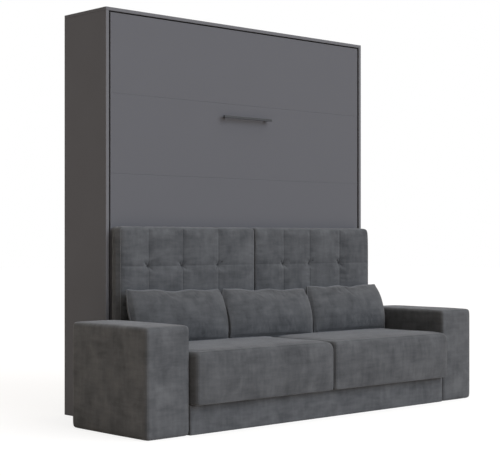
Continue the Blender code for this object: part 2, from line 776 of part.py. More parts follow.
def slat_frame(bed):
    """Thirteen slats let into two battens: a ladder of one thickness, behind the frame."""
    half = MATTRESS_HALF - FRAME_OUTSIDE
    inner = half - SLAT_BATTEN
    run = (MATTRESS_LENGTH - SLAT_WIDTH) / (SLAT_COUNT - 1)
    middle = (BED_LOW_END + BED_HIGH_END) / 2
    curve = bpy.data.curves.new("slat_frame", "CURVE")
    curve.dimensions = "2D"
    curve.fill_mode = "BOTH"
    curve.extrude = SLAT_THICKNESS / 2
    length = MATTRESS_LENGTH / 2
    loops = [rectangle(-half, -length, half, length)]
    for i in range(SLAT_COUNT - 1):
        low = -length + i * run + SLAT_WIDTH
        loops.append(rectangle(-inner, low, inner, low + run - SLAT_WIDTH))
    for loop in loops:
        spline = curve.splines.new("POLY")
        spline.points.add(len(loop) - 1)
        for point, (x, z) in zip(spline.points, loop):
            point.co = (x, z, 0, 1)
        spline.use_cyclic_u = True
    place = (0, (SLAT_FACE + SLAT_BACK) / 2, middle)
    obj = add_object("slat_frame", curve, SLAT_WOOD, place, bed)
    obj.rotation_euler.x = math.pi / 2


def rectangle(low_x, low_y, high_x, high_y):
    return [(low_x, low_y), (high_x, low_y), (high_x, high_y), (low_x, high_y)]


def mattress_strap(name, level, bed):
    """Webbing that holds the mattress while the bed stands upright, fixed to both rails."""
    inner = MATTRESS_HALF + RUNNING_GAP
    outer = inner + STRAP_THICKNESS
    foot = RAIL_BACK + GAP
    under = MATTRESS_BACK + RUNNING_GAP
    over = under + STRAP_THICKNESS
    outline = [
        (-outer, foot),
        (-inner, foot),
        (-inner, under),
        (inner, under),
        (inner, foot),
        (outer, foot),
        (outer, over),
        (-outer, over),
    ]
    curve = bpy.data.curves.new(name, "CURVE")
    curve.dimensions = "2D"
    curve.fill_mode = "BOTH"
    curve.extrude = STRAP_WIDTH / 2
    spline = curve.splines.new("POLY")
    spline.points.add(len(outline) - 1)
    for point, (x, y) in zip(spline.points, outline):
        point.co = (x, y - MATTRESS_BACK, 0, 1)
    spline.use_cyclic_u = True
    add_object(name, curve, WEBBING, (0, MATTRESS_BACK, level), bed)


def build_legs(legs):
    """Two flat steel legs on one shaft. They hang upright in the side gaps, and stay so as the bed comes down."""
    for side, sign in SIDES:
        half = LEG_WIDTH / 2
        outline = [(-half, -LEG_LENGTH), (half, -LEG_LENGTH)]
        outline += circle_points(0, 0, half, 0, math.pi, steps=ROUND_STEPS // 2, closed=False)
        place = (sign * (LEG_INNER + LEG_STEEL / 2), PIVOT_Y, LEG_LEVEL)
        flat_plate(f"leg_{side}", outline, [], LEG_STEEL, BLACK_STEEL, place, legs)
    length = 2 * (LEG_INNER - GAP)
    place = (0, PIVOT_Y, LEG_LEVEL)
    round_bar("leg_shaft", LEG_SHAFT_RADIUS, length, "X", FRAME_STEEL, place, legs)


# Sofa

def build_sofa():
    for side, sign in SIDES:
        inner, outer = sorted((sign * SOFA_HALF, sign * (SOFA_HALF + ARMREST_WIDTH)))
        low, high = (inner, SOFA_FRONT, 0), (outer, SOFA_BACK, ARMREST_HEIGHT)
        board(f"armrest_{side}", low, high, VELVET, None, ARMREST_ROUND, 3)
        inner, outer = sorted((sign * (BASE_HALF - BASE_PANEL), sign * BASE_HALF))
        front = SOFA_FRONT + BASE_FRONT_PANEL + GAP
        back = SOFA_BACK - BASE_PANEL - GAP
        board(f"sofa_base_side_{side}", (inner, front, 0), (outer, back, BASE_HEIGHT), VELVET, None)
        sofa_tie(f"sofa_tie_{side}", sign)
    front_low, front_high = (-BASE_HALF, SOFA_FRONT, 0), (BASE_HALF, SOFA_FRONT + BASE_FRONT_PANEL, BASE_HEIGHT)
    board("sofa_base_front", front_low, front_high, VELVET, None, BASE_ROUND, 2)
    back_low, back_high = (-BASE_HALF, SOFA_BACK - BASE_PANEL, 0), (BASE_HALF, SOFA_BACK, BASE_HEIGHT)
    board("sofa_base_back", back_low, back_high, VELVET, None)
    reach = BASE_HALF - BASE_PANEL - GAP
    deck_low = (-reach, SOFA_FRONT + BASE_FRONT_PANEL + GAP, BASE_HEIGHT - BASE_PANEL)
    deck_high = (reach, SOFA_BACK - BASE_PANEL - GAP, BASE_HEIGHT)
    board("sofa_base_deck", deck_low, deck_high, VELVET, None)


def sofa_tie(name, sign):
    """A steel bracket that holds the sofa at its distance in front of the cabinet's plinth."""
    low_y, high_y = SOFA_BACK + GAP, BOARD_FACE - GAP
    flange, steel = TIE_FLANGE, TIE_STEEL
    outline = [
        (0, low_y),
        (flange, low_y),
        (flange, low_y + steel),
        (steel, low_y + steel),
        (steel, high_y - steel),
        (flange, high_y - steel),
        (flange, high_y),
        (0, high_y),
    ]
    curve = bpy.data.curves.new(name, "CURVE")
    curve.dimensions = "2D"
    curve.fill_mode = "BOTH"
    curve.extrude = TIE_HEIGHT / 2
    spline = curve.splines.new("POLY")
    spline.points.add(len(outline) - 1)
    middle = (low_y + high_y) / 2
    for point, (x, y) in zip(spline.points, outline):
        point.co = (sign * x, y - middle, 0, 1)
    spline.use_cyclic_u = True
    x = sign * (SOFA_HALF - TIE_INSET)
    add_object(name, curve, BRIGHT_STEEL, (x, middle, TIE_LEVEL + TIE_HEIGHT / 2))


def build_seats():
    width = SOFA_HALF - SEAT_SIDE_GAP - MIDDLE_GAP / 2
    depth = SEAT_REACH - SEAT_BEHIND
    size = (width, depth, SEAT_EDGE_HEIGHT)
    seats = []
    for side, sign in SIDES:
        place = (
            sign * (MIDDLE_GAP + width) / 2,
            FRONT - SEAT_BEHIND - depth / 2,
            BASE_HEIGHT + GAP + SEAT_EDGE_HEIGHT / 2,
        )
        name = f"seat_cushion_{side}"
        seats.append(soft_block(name, size, (10, 7, 3), SEAT_ROUND, 2, seat_rule, VELVET, place))
    return seats


def build_pillows(seats, backs):
    """Three pillows that stand on the seat and lean on the back cushions."""
    size = (PILLOW_WIDTH, PILLOW_EDGE, PILLOW_HEIGHT)
    for number in range(1, PILLOW_COUNT + 1):
        x = (number - (PILLOW_COUNT + 1) / 2) * PILLOW_PITCH
        place = (x, FRONT - SEAT_BEHIND - PILLOW_HEIGHT, BASE_HEIGHT + 2 * SEAT_EDGE_HEIGHT)
        name = f"pillow_{number}"
        pillow = soft_block(name, size, (10, 1, 6), 0, 0, pillow_rule, VELVET, place)
        pillow.rotation_euler.x = -PILLOW_LEAN
        for _ in range(2):
            move_until_it_rests(pillow, seats, Vector((0, 0, -1)))
            move_until_it_rests(pillow, backs, Vector((0, 1, 0)))
        move_until_it_rests(pillow, seats, Vector((0, 0, -1)))


def move_until_it_rests(obj, others, direction):
    """Moves a piece along a direction until it is a hair from the first of the others that it meets."""
    bpy.context.view_layer.update()
    own_points, own_tree = sampled(obj)
    least = None
    for other in others:
        points, tree = sampled(other)
        rays = [(point, direction, tree) for point in own_points]
        rays += [(point, -direction, own_tree) for point in points]
        for point, heading, target in rays:
            distance = target.ray_cast(point, heading)[3]
            if distance is not None and (least is None or distance < least):
                least = distance
    if least is not None:
        obj.location += direction * (least - PILLOW_GAP)


def sampled(obj):
    """The points and edge midpoints of a piece in the part's frame, and a tree of its faces."""
    matrix = obj.matrix_world
    points = [matrix @ vert.co for vert in obj.data.vertices]
    faces = [tuple(face.vertices) for face in obj.data.polygons]
    tree = BVHTree.FromPolygons(points, faces)
    between = []
    for edge in obj.data.edges:
        start, end = (points[i] for i in edge.vertices)
        between += [start.lerp(end, share) for share in (1 / 4, 1 / 2, 3 / 4)]
    return points + between, tree


def main():
    build_cabinet()
    build_pivots()
    build_struts()
    bed = add_empty("bed_pivot", (0, PIVOT_Y, PIVOT_LEVEL))
    build_bed(bed)
    legs = add_empty("leg_pivot", (0, PIVOT_Y, LEG_LEVEL), bed)
    build_legs(legs)
    build_sofa()
    seats = build_seats()
    backs = [bpy.data.objects[f"back_cushion_{side}"] for side, _ in SIDES]
    build_pillows(seats, backs)
    bpy.context.view_layer.update()


main()
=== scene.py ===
# %% [markdown]
# # A wall bed with a sofa
#
# This notebook dresses a finished construction model. The boards, steel parts and mechanism
# are already right in size, so they only get a finish. The padded parts are plain solids
# there, so each one is modelled again here: the tufted back cushions, the seat cushions, the
# pillows, the armrests, the base and the mattress.

import json
import math

import bpy
import numpy as np
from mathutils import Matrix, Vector
from mathutils.bvhtree import BVHTree


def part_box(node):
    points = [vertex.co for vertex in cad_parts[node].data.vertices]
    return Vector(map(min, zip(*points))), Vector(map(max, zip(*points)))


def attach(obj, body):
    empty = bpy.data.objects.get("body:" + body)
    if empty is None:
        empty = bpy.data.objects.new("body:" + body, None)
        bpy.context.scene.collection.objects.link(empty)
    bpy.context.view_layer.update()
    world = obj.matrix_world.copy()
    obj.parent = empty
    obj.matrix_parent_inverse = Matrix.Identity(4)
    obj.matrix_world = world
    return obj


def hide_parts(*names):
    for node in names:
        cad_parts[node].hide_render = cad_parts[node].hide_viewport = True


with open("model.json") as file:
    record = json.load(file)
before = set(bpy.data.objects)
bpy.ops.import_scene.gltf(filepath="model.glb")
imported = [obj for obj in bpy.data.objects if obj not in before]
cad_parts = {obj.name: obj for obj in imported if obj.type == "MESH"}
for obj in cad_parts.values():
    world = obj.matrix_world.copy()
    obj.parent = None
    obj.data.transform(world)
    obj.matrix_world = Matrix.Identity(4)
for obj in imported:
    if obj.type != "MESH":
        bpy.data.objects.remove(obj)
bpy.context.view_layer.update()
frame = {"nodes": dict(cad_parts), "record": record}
nodes = frame["nodes"]

# %% [markdown]
# ## Camera
#
# The picture was taken from the front left, at about the height of a sitting person's eyes.
# All uprights stay parallel in it, so the camera is level, and a small vertical shift frames
# the object. The lens is a long one, which keeps the cabinet's far edge tall.

# %% Place the camera
CAMERA_PLACE = (-4.953, -5.241, 0.951)
CAMERA_TURN = 0.746
LENS_MM = 91.64
SENSOR_MM = 36.0
FRAME_SHIFT = 0.0044


def deselect():
    """Operators act on whatever is selected, so every step starts with nothing selected."""
    if bpy.context.object and bpy.context.object.mode != "OBJECT":
        bpy.ops.object.mode_set(mode="OBJECT")
    bpy.ops.object.select_all(action="DESELECT")


deselect()
bpy.ops.object.camera_add(location=CAMERA_PLACE, rotation=(math.pi / 2, 0, -CAMERA_TURN))
camera = bpy.context.object
camera.name = "camera"
camera.data.sensor_fit = "HORIZONTAL"
camera.data.sensor_width = SENSOR_MM
camera.data.lens = LENS_MM
camera.data.shift_y = FRAME_SHIFT
bpy.context.scene.camera = camera

# %% [markdown]
# ## Studio
#
# A very wide, cool lamp stands at the front right and lights the cabinet's front evenly. A
# wide, warm one hangs overhead and lifts the tops. A warm, even world fills the shade on the
# left side. The camera, mirrors and glass see a white world, which costs the object no light.

# %% World
FILL_COLOUR = (1.0, 0.88, 0.74)
FILL_LEVEL = 0.31


def split_view(tree, lit, seen, out_kind):
    """Sends one shader to the light, and another to the camera, reflections and glass."""
    path = tree.nodes.new("ShaderNodeLightPath")
    share = path.outputs["Is Camera Ray"]
    for name in ("Is Glossy Ray", "Is Transmission Ray"):
        either = tree.nodes.new("ShaderNodeMath")
        either.operation = "MAXIMUM"
        tree.links.new(share, either.inputs[0])
        tree.links.new(path.outputs[name], either.inputs[1])
        share = either.outputs[0]
    mix = tree.nodes.new("ShaderNodeMixShader")
    for socket, value in zip(mix.inputs, (share, lit.outputs[0], seen.outputs[0])):
        tree.links.new(value, socket)
    tree.links.new(mix.outputs[0], tree.nodes.new(out_kind).inputs[0])


def make_world():
    world = bpy.data.worlds.new("studio")
    bpy.context.scene.world = world
    world.use_nodes = True
    tree = world.node_tree
    tree.nodes.clear()
    fill = tree.nodes.new("ShaderNodeBackground")
    fill.inputs["Color"].default_value = (*FILL_COLOUR, 1)
    fill.inputs["Strength"].default_value = FILL_LEVEL
    white = tree.nodes.new("ShaderNodeBackground")
    white.inputs["Color"].default_value = (1, 1, 1, 1)
    split_view(tree, fill, white, "ShaderNodeOutputWorld")


make_world()

# %% Lamps
def add_lamp(name, towards, colour, level, spread):
    """A far, wide lamp. towards points from the object to the lamp."""
    deselect()
    turn = Vector(towards).to_track_quat("Z", "Y").to_euler()
    bpy.ops.object.light_add(type="SUN", location=Vector(towards) * 6, rotation=turn)
    lamp = bpy.context.object
    lamp.name = name
    lamp.data.color = colour
    lamp.data.energy = level
    lamp.data.angle = math.radians(spread)


add_lamp("key_lamp", (0.30, -0.86, 0.44), (0.83, 0.895, 1.0), 2.34, 50)
add_lamp("top_lamp", (0.10, -0.20, 1.0), (1.0, 0.94, 0.88), 1.85, 75)
bpy.context.scene.view_settings.view_transform = "Standard"

# %% [markdown]
# The floor is matt and pale. What the camera sees of it is lifted to white, but it is still
# partly lit by the lamps, so the object's shadow stays on it.

# %% Floor
FLOOR_SIZE = 60.0
FLOOR_COLOUR = (0.62, 0.56, 0.50)
FLOOR_SEEN_TONE = 0.22
FLOOR_SEEN_LIFT = 0.80


def floor_paint():
    material = bpy.data.materials.new("floor_paint")
    material.use_nodes = True
    tree = material.node_tree
    tree.nodes.clear()
    lit = tree.nodes.new("ShaderNodeBsdfDiffuse")
    lit.inputs["Color"].default_value = (*FLOOR_COLOUR, 1)
    seen = tree.nodes.new("ShaderNodeBsdfDiffuse")
    seen.inputs["Color"].default_value = (FLOOR_SEEN_TONE,) * 3 + (1,)
    lift = tree.nodes.new("ShaderNodeEmission")
    lift.inputs["Strength"].default_value = FLOOR_SEEN_LIFT
    add = tree.nodes.new("ShaderNodeAddShader")
    tree.links.new(seen.outputs[0], add.inputs[0])
    tree.links.new(lift.outputs[0], add.inputs[1])
    split_view(tree, lit, add, "ShaderNodeOutputMaterial")
    return material


deselect()
bpy.ops.mesh.primitive_plane_add(size=FLOOR_SIZE, location=(0, 0, 0))
floor = bpy.context.object
floor.name = "floor"
floor.data.materials.append(floor_paint())

# %% [markdown]
# ## Patterns
#
# Three patterns are shared by several finishes, so each is a node group: the nap of velvet,
# the fine grain of foil, paint and metal, and a plain weave. They read object coordinates, so
# nothing has to be unwrapped. A small class keeps the wiring short.

# %% Wiring helper


class Wiring:
    """A node tree with short ways to add the nodes that the finishes need."""

    def __init__(self, tree):
        self.tree = tree

    def put(self, socket, value):
        if value is None:
            return
        if isinstance(value, bpy.types.NodeSocket):
            self.tree.links.new(value, socket)
        else:
            socket.default_value = value

    def node(self, kind, **settings):
        node = self.tree.nodes.new("ShaderNode" + kind)
        for key, value in settings.items():
            setattr(node, key, value)
        return node

    def mapped(self, vector, scale=(1, 1, 1), turn=(0, 0, 0), shift=(0, 0, 0)):
        node = self.node("Mapping")
        self.put(node.inputs["Vector"], vector)
        self.put(node.inputs["Scale"], scale)
        self.put(node.inputs["Rotation"], turn)
        self.put(node.inputs["Location"], shift)
        return node.outputs["Vector"]

    def noise(self, vector, scale, detail=2.0, roughness=0.5, distortion=0.0):
        node = self.node("TexNoise")
        self.put(node.inputs["Vector"], vector)
        self.put(node.inputs["Scale"], scale)
        self.put(node.inputs["Detail"], detail)
        self.put(node.inputs["Roughness"], roughness)
        self.put(node.inputs["Distortion"], distortion)
        return node.outputs["Fac"]

    def math(self, operation, first, second=None):
        node = self.node("Math", operation=operation)
        self.put(node.inputs[0], first)
        self.put(node.inputs[1], second)
        return node.outputs[0]

    def weighted(self, *pairs):
        total = None
        for value, weight in pairs:
            part = self.math("MULTIPLY", value, weight)
            total = part if total is None else self.math("ADD", total, part)
        return total

    def remap(self, value, low, high, to_low=0.0, to_high=1.0):
        node = self.node("MapRange")
        for socket, number in zip(node.inputs, (value, low, high, to_low, to_high)):
            self.put(socket, number)
        return node.outputs["Result"]

    def blend(self, factor, first, second):
        node = self.node("Mix", data_type="RGBA")
        self.put(node.inputs["Factor"], factor)
        for name, colour in (("A", first), ("B", second)):
            self.put(node.inputs[name], (*colour, 1) if isinstance(colour, tuple) else colour)
        return node.outputs["Result"]

    def object_coordinates(self):
        return self.node("TexCoord").outputs["Object"]

    def bump(self, height, distance, strength):
        node = self.node("Bump")
        self.put(node.inputs["Height"], height)
        self.put(node.inputs["Distance"], distance)
        self.put(node.inputs["Strength"], strength)
        return node.outputs["Normal"]


def new_group(name, inputs, outputs):
    """A node group with named value and vector inputs and value outputs."""
    tree = bpy.data.node_groups.new(name, "ShaderNodeTree")
    for label, kind in inputs:
        tree.interface.new_socket(label, in_out="INPUT", socket_type=kind)
    for label in outputs:
        tree.interface.new_socket(label, in_out="OUTPUT", socket_type="NodeSocketFloat")
    start = tree.nodes.new("NodeGroupInput")
    end = tree.nodes.new("NodeGroupOutput")
    return Wiring(tree), start.outputs, end.inputs


def place_group(wiring, group, **inputs):
    node = wiring.node("Group", node_tree=group)
    for label, value in inputs.items():
        wiring.put(node.inputs[label], value)
    return node.outputs


VECTOR = "NodeSocketVector"
VALUE = "NodeSocketFloat"

# %% [markdown]
# Velvet pile lies this way in one place and that way in another. Seen from one side, that
# gives soft cloudy patches, long faint strokes along both threads, and a very fine fuzz.

# %% Nap of velvet
def make_nap():
    w, given, out = new_group("velvet_nap", [("Vector", VECTOR), ("Patch", VALUE)], ["Tone", "Height"])
    vector = given["Vector"]
    patches = w.noise(vector, given["Patch"], 4.0, 0.55, 0.4)
    level = w.noise(w.mapped(vector, (0.9, 0.9, 5.0)), 9.0, 4.0, 0.62)
    upright = w.noise(w.mapped(vector, (5.0, 5.0, 0.9)), 8.0, 4.0, 0.62)
    fuzz = w.noise(vector, 520.0, 2.0, 0.7)
    tone = w.weighted((patches, 0.46), (level, 0.26), (upright, 0.20), (fuzz, 0.08))
    w.put(out["Tone"], w.remap(tone, 0.38, 0.62))
    w.put(out["Height"], w.weighted((fuzz, 0.5), (upright, 0.25), (level, 0.25)))
    return w.tree


NAP = make_nap()

# %% [markdown]
# Foil, powder paint and plated steel all have a slight cloudiness and a fine skin.

# %% Fine grain
def make_grain():
    w, given, out = new_group("fine_grain", [("Vector", VECTOR), ("Skin", VALUE)], ["Cloud", "Height"])
    w.put(out["Cloud"], w.noise(given["Vector"], 5.0, 4.0, 0.55))
    w.put(out["Height"], w.noise(given["Vector"], given["Skin"], 2.0, 0.6))
    return w.tree


GRAIN = make_grain()

# %% [markdown]
# A plain weave is two sets of threads that pass over and under each other. The product of two
# sine waves gives that chequer of bumps, on every side of a box.

# %% Plain weave
def make_weave():
    w, given, out = new_group("plain_weave", [("Vector", VECTOR), ("Threads", VALUE)], ["Height", "Tone"])
    split = w.node("SeparateXYZ")
    w.put(split.inputs[0], given["Vector"])
    x, y, z = split.outputs
    waves = []
    for place in (w.math("ADD", x, y), w.math("ADD", z, y)):
        waves.append(w.math("SINE", w.math("MULTIPLY", place, given["Threads"])))
    over = w.math("MULTIPLY", *waves)
    w.put(out["Height"], w.remap(over, -1.0, 1.0))
    w.put(out["Tone"], w.noise(given["Vector"], 60.0, 3.0, 0.6))
    return w.tree


WEAVE = make_weave()

# %% [markdown]
# ## Finishes
#
# The boards are chipboard in a matt graphite foil, with a slightly lighter band on their
# front edges. The sofa's cover is a short-pile velvet with a soft sheen.

# %% Boards
BOARD_TONES = ((0.100, 0.102, 0.113), (0.105, 0.107, 0.118))
BAND_TONE = (0.130, 0.132, 0.142)
FRONT_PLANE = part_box("cabinet_side_left")[0][1]
BAND_DEPTH = 0.0015


def new_finish(name, roughness, metallic=0.0):
    material = bpy.data.materials.new(name)
    material.use_nodes = True
    wiring = Wiring(material.node_tree)
    shader = material.node_tree.nodes["Principled BSDF"]
    shader.inputs["Roughness"].default_value = roughness
    shader.inputs["Metallic"].default_value = metallic
    return material, wiring, shader.inputs


def board_finish(name, banded):
    material, w, shader = new_finish(name, 0.6)
    vector = w.object_coordinates()
    grain = place_group(w, GRAIN, Vector=vector, Skin=900.0)
    tone = w.weighted((grain["Cloud"], 0.6), (grain["Height"], 0.4))
    colour = w.blend(tone, *BOARD_TONES)
    if banded:
        split = w.node("SeparateXYZ")
        w.put(split.inputs[0], vector)
        band = w.math("LESS_THAN", split.outputs["Y"], FRONT_PLANE + BAND_DEPTH)
        colour = w.blend(band, colour, BAND_TONE)
    w.put(shader["Base Color"], colour)
    w.put(shader["Roughness"], w.remap(grain["Cloud"], 0.3, 0.7, 0.56, 0.64))
    w.put(shader["Specular IOR Level"], 0.12)
    w.put(shader["Normal"], w.bump(grain["Height"], 0.00015, 0.4))
    return material


# %% [markdown]
# The pile of each piece lies a little differently, so one looks lighter than another from the
# same side. Each piece therefore has its own share of the cover's two tones. The shares also
# hold painted light: the pillows' share is darker as painted shade, and the seam cord's share
# is lighter as a painted highlight.

# %% Velvet
VELVET_TONES = (Vector((0.060, 0.0640, 0.0700)), Vector((0.110, 0.116, 0.124)))


def velvet_finish(name, shift, patch, lightness):
    """Each cut piece of the cover has its own patch of the pattern."""
    material, w, shader = new_finish(name, 0.95)
    vector = w.mapped(w.object_coordinates(), shift=shift)
    nap = place_group(w, NAP, Vector=vector, Patch=patch)
    tones = [tuple(tone * lightness) for tone in VELVET_TONES]
    w.put(shader["Base Color"], w.blend(nap["Tone"], *tones))
    w.put(shader["Specular IOR Level"], 0.1)
    w.put(shader["Sheen Weight"], 0.22)
    w.put(shader["Sheen Roughness"], 0.42)
    w.put(shader["Sheen Tint"], (0.88, 0.89, 0.92, 1))
    w.put(shader["Normal"], w.bump(nap["Height"], 0.0010, 0.55))
    return material


# Each row holds the shift in the pattern, the fineness of the patches and the lightness.
VELVETS = {
    "base": ((0.0, 0.0, 0.0), 9.0, 1.00),
    # The seam cord is 1.4 times lighter: a painted highlight along the seam ridges.
    "seam": ((0.0, 0.0, 0.0), 9.0, 1.40),
    "armrest_left": ((3.1, 0.7, 1.9), 9.0, 0.98),
    "armrest_right": ((5.3, 2.2, 0.4), 8.0, 0.94),
    "seat_left": ((1.3, 4.1, 2.7), 8.0, 0.86),
    "seat_right": ((7.9, 1.1, 5.2), 7.5, 0.87),
    "back_left": ((2.4, 6.3, 3.3), 10.0, 0.90),
    "back_right": ((9.2, 3.7, 1.6), 10.0, 0.88),
    # The pillows are darker partly as painted shade, where they lean back in the shade.
    "pillow_1": ((4.4, 8.8, 2.1), 11.0, 0.76),
    "pillow_2": ((6.1, 5.5, 7.4), 10.0, 0.81),
    "pillow_3": ((8.3, 0.9, 4.8), 11.5, 0.80),
}


# %% Steel
def painted_steel(name, dark, light, roughness):
    material, w, shader = new_finish(name, roughness, 0.2)
    grain = place_group(w, GRAIN, Vector=w.object_coordinates(), Skin=650.0)
    w.put(shader["Base Color"], w.blend(grain["Cloud"], dark, light))
    w.put(shader["Roughness"], w.remap(grain["Cloud"], 0.3, 0.7, roughness - 0.06, roughness + 0.06))
    w.put(shader["Normal"], w.bump(grain["Height"], 0.0002, 0.4))
    return material


def plated_steel(name):
    material, w, shader = new_finish(name, 0.3, 1.0)
    grain = place_group(w, GRAIN, Vector=w.mapped(w.object_coordinates(), (1, 1, 12)), Skin=240.0)
    w.put(shader["Base Color"], w.blend(grain["Height"], (0.46, 0.47, 0.48), (0.66, 0.67, 0.68)))
    w.put(shader["Roughness"], w.remap(grain["Height"], 0.3, 0.7, 0.24, 0.38))
    return material


# %% Slats, ticking, webbing and plastic
def wood_finish():
    material, w, shader = new_finish("birch_slats", 0.55)
    grain = w.noise(w.mapped(w.object_coordinates(), (1, 1, 16)), 7.0, 5.0, 0.6, 0.9)
    w.put(shader["Base Color"], w.blend(grain, (0.40, 0.25, 0.13), (0.70, 0.52, 0.32)))
    w.put(shader["Normal"], w.bump(grain, 0.0004, 0.4))
    return material


def woven_finish(name, threads, tones, roughness, depth):
    material, w, shader = new_finish(name, roughness)
    weave = place_group(w, WEAVE, Vector=w.object_coordinates(), Threads=threads)
    tone = w.weighted((weave["Tone"], 0.7), (weave["Height"], 0.3))
    w.put(shader["Base Color"], w.blend(tone, *tones))
    w.put(shader["Specular IOR Level"], 0.25)
    w.put(shader["Sheen Weight"], 0.1)
    w.put(shader["Normal"], w.bump(weave["Height"], depth, 0.6))
    return material


def plastic_finish(name, tones, roughness):
    material, w, shader = new_finish(name, roughness)
    grain = place_group(w, GRAIN, Vector=w.object_coordinates(), Skin=1400.0)
    w.put(shader["Base Color"], w.blend(grain["Cloud"], *tones))
    w.put(shader["Normal"], w.bump(grain["Height"], 0.0002, 0.3))
    return material


FINISHES = {
    "graphite_board": board_finish("graphite_foil", banded=False),
    "cabinet_board": board_finish("graphite_foil_banded", banded=True),
    "black_steel": painted_steel("black_powder_coat", (0.010, 0.010, 0.011), (0.018, 0.018, 0.019), 0.42),
    "frame_steel": painted_steel("grey_powder_coat", (0.050, 0.052, 0.056), (0.075, 0.077, 0.082), 0.50),
    "bright_steel": plated_steel("zinc_plated_steel"),
    "strut_black": painted_steel("black_lacquer", (0.008, 0.008, 0.009), (0.014, 0.014, 0.015), 0.28),
    "slat_wood": wood_finish(),
    "mattress_ticking": woven_finish(
        "mattress_ticking", 2600.0, ((0.58, 0.57, 0.54), (0.74, 0.73, 0.70)), 0.9, 0.0005
    ),
    "strap_webbing": woven_finish(
        "strap_webbing", 1900.0, ((0.010, 0.010, 0.011), (0.040, 0.040, 0.043)), 0.8, 0.0008
    ),
    "black_plastic": plastic_finish("black_plastic", ((0.010, 0.010, 0.011), (0.020, 0.020, 0.021)), 0.45),
}
for name, values in VELVETS.items():
    FINISHES[f"velvet_{name}"] = velvet_finish(f"velvet_{name}", *values)
FINISHES["grey_velvet"] = FINISHES["velvet_base"]
print("finishes:", len(FINISHES))

# %% [markdown]
# Every construction node names its finish in the record, so one loop dresses them all. The
# soft ones are replaced further down.

# %% Dress the construction nodes
for row in frame["record"]["subparts"]:
    slot = row["material_slot"]
    if row["node"].startswith("cabinet_side") or row["node"] == "cabinet_top":
        slot = "cabinet_board"
    node = nodes[row["node"]]
    node.data.materials.clear()
    node.data.materials.append(FINISHES[slot])

# %% [markdown]
# ## Modelling helpers
#
# A block is added as a cube of the right size, its edges are bevelled in edit mode, and its
# place is applied, so that the finished object sits at the origin. Cutting it into strips
# gives the padded ones points to move.

# %% Blocks and edit mode


def make_active(obj):
    deselect()
    bpy.context.view_layer.objects.active = obj
    obj.select_set(True)


def add_block(name, low, high):
    """A cube from its lowest to its highest corner, with its place and size in its mesh."""
    deselect()
    low, high = Vector(low), Vector(high)
    bpy.ops.mesh.primitive_cube_add(size=1, location=(low + high) / 2)
    obj = bpy.context.object
    obj.name = name
    obj.data.name = name
    obj.scale = high - low
    bpy.ops.object.transform_apply(location=True, rotation=True, scale=True)
    return obj


def open_selected(obj, kind, choose):
    """Opens obj in edit mode with only those edges or faces selected that choose() accepts."""
    make_active(obj)
    bpy.ops.object.mode_set(mode="EDIT")
    bpy.ops.mesh.select_mode(type=kind)
    bpy.ops.mesh.select_all(action="DESELECT")
    bpy.ops.object.mode_set(mode="OBJECT")
    for element in {"EDGE": obj.data.edges, "FACE": obj.data.polygons}[kind]:
        element.select = bool(choose(element))
    bpy.ops.object.mode_set(mode="EDIT")


def round_edges(obj, width, segments, choose=lambda start, end: True):
    """Bevels the edges that choose() accepts, by their two ends."""
    points = [vert.co.copy() for vert in obj.data.vertices]
    open_selected(obj, "EDGE", lambda edge: choose(*(points[i] for i in edge.vertices)))
    bpy.ops.mesh.bevel(offset=width, segments=segments, profile=0.5, affect="EDGES")
    bpy.ops.object.mode_set(mode="OBJECT")


def cut_strips(obj, low, high, counts):
    """Cuts a block into this many strips along X, Y and Z, between two corners."""
    make_active(obj)
    bpy.ops.object.mode_set(mode="EDIT")
    for axis, count in enumerate(counts):
        normal = [0, 0, 0]
        normal[axis] = 1
        for i in range(1, count):
            point = [0, 0, 0]
            point[axis] = low[axis] + (high[axis] - low[axis]) * i / count
            bpy.ops.mesh.select_all(action="SELECT")
            bpy.ops.mesh.bisect(plane_co=point, plane_no=normal)
    bpy.ops.object.mode_set(mode="OBJECT")


def refine(obj):
    """Divides each face into four and rounds the shape off."""
    make_active(obj)
    modifier = obj.modifiers.new("refine", "SUBSURF")
    modifier.levels = modifier.render_levels = 1
    bpy.ops.object.modifier_apply(modifier=modifier.name)


def smooth(obj, degrees=None):
    """Shades obj smoothly, but leaves edges hard that turn by more than this angle."""
    make_active(obj)
    if degrees is None:
        bpy.ops.object.shade_smooth()
    else:
        bpy.ops.object.shade_smooth_by_angle(angle=math.radians(degrees))


def points_of(obj):
    points = np.empty(len(obj.data.vertices) * 3)
    obj.data.vertices.foreach_get("co", points)
    return points.reshape(-1, 3)


def set_points(obj, points):
    obj.data.vertices.foreach_set("co", points.ravel())
    obj.data.update()


def dress(obj, body, slot, finish=None, replaced=()):
    """Gives a finished piece its finish and its body, and lets it stand for its construction nodes."""
    obj.data.materials.clear()
    obj.data.materials.append(FINISHES[finish or slot])
    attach(obj, body)
    if replaced:
        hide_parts(*replaced)


def box_of(name):
    low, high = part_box(name)
    return np.array(low), np.array(high)


def shares_of(points, low, high):
    """Where points lie between two corners, on each axis from -1 to 1."""
    return np.clip(2 * (points - low) / (high - low) - 1, -1, 1)


def tree_of(objects):
    """One search tree over the faces of several pieces."""
    points, faces = [], []
    for obj in objects:
        start = len(points)
        points += [vert.co.copy() for vert in obj.data.vertices]
        faces += [tuple(start + i for i in face.vertices) for face in obj.data.polygons]
    return BVHTree.FromPolygons(points, faces)


SIDES = (("left", -1), ("right", 1))
HARD_ANGLE = 35

# %% [markdown]
# ## Seams
#
# Where two pieces of the cover are sewn together, the allowance inside makes a thin ridge. It
# catches the light along every edge that shows. On the back cushions and the pillows the
# ridge's velvet is also made lighter, as a painted highlight. The ridge is a thin cord that
# follows the padded surface: each point of a path outside the piece is brought to the nearest
# point on it.

# %% Sew a ridge along a closed line
SEAM_STEP = 0.010
SEAM_ROUNDS = 3
THIN_SEAM = 0.0014


def walk(corners):
    """Evenly spaced points along the closed line through these corners."""
    corners = [Vector(corner) for corner in corners]
    points = []
    for start, end in zip(corners, corners[1:] + corners[:1]):
        count = max(1, round((end - start).length / SEAM_STEP))
        points += [start.lerp(end, i / count) for i in range(count)]
    return points


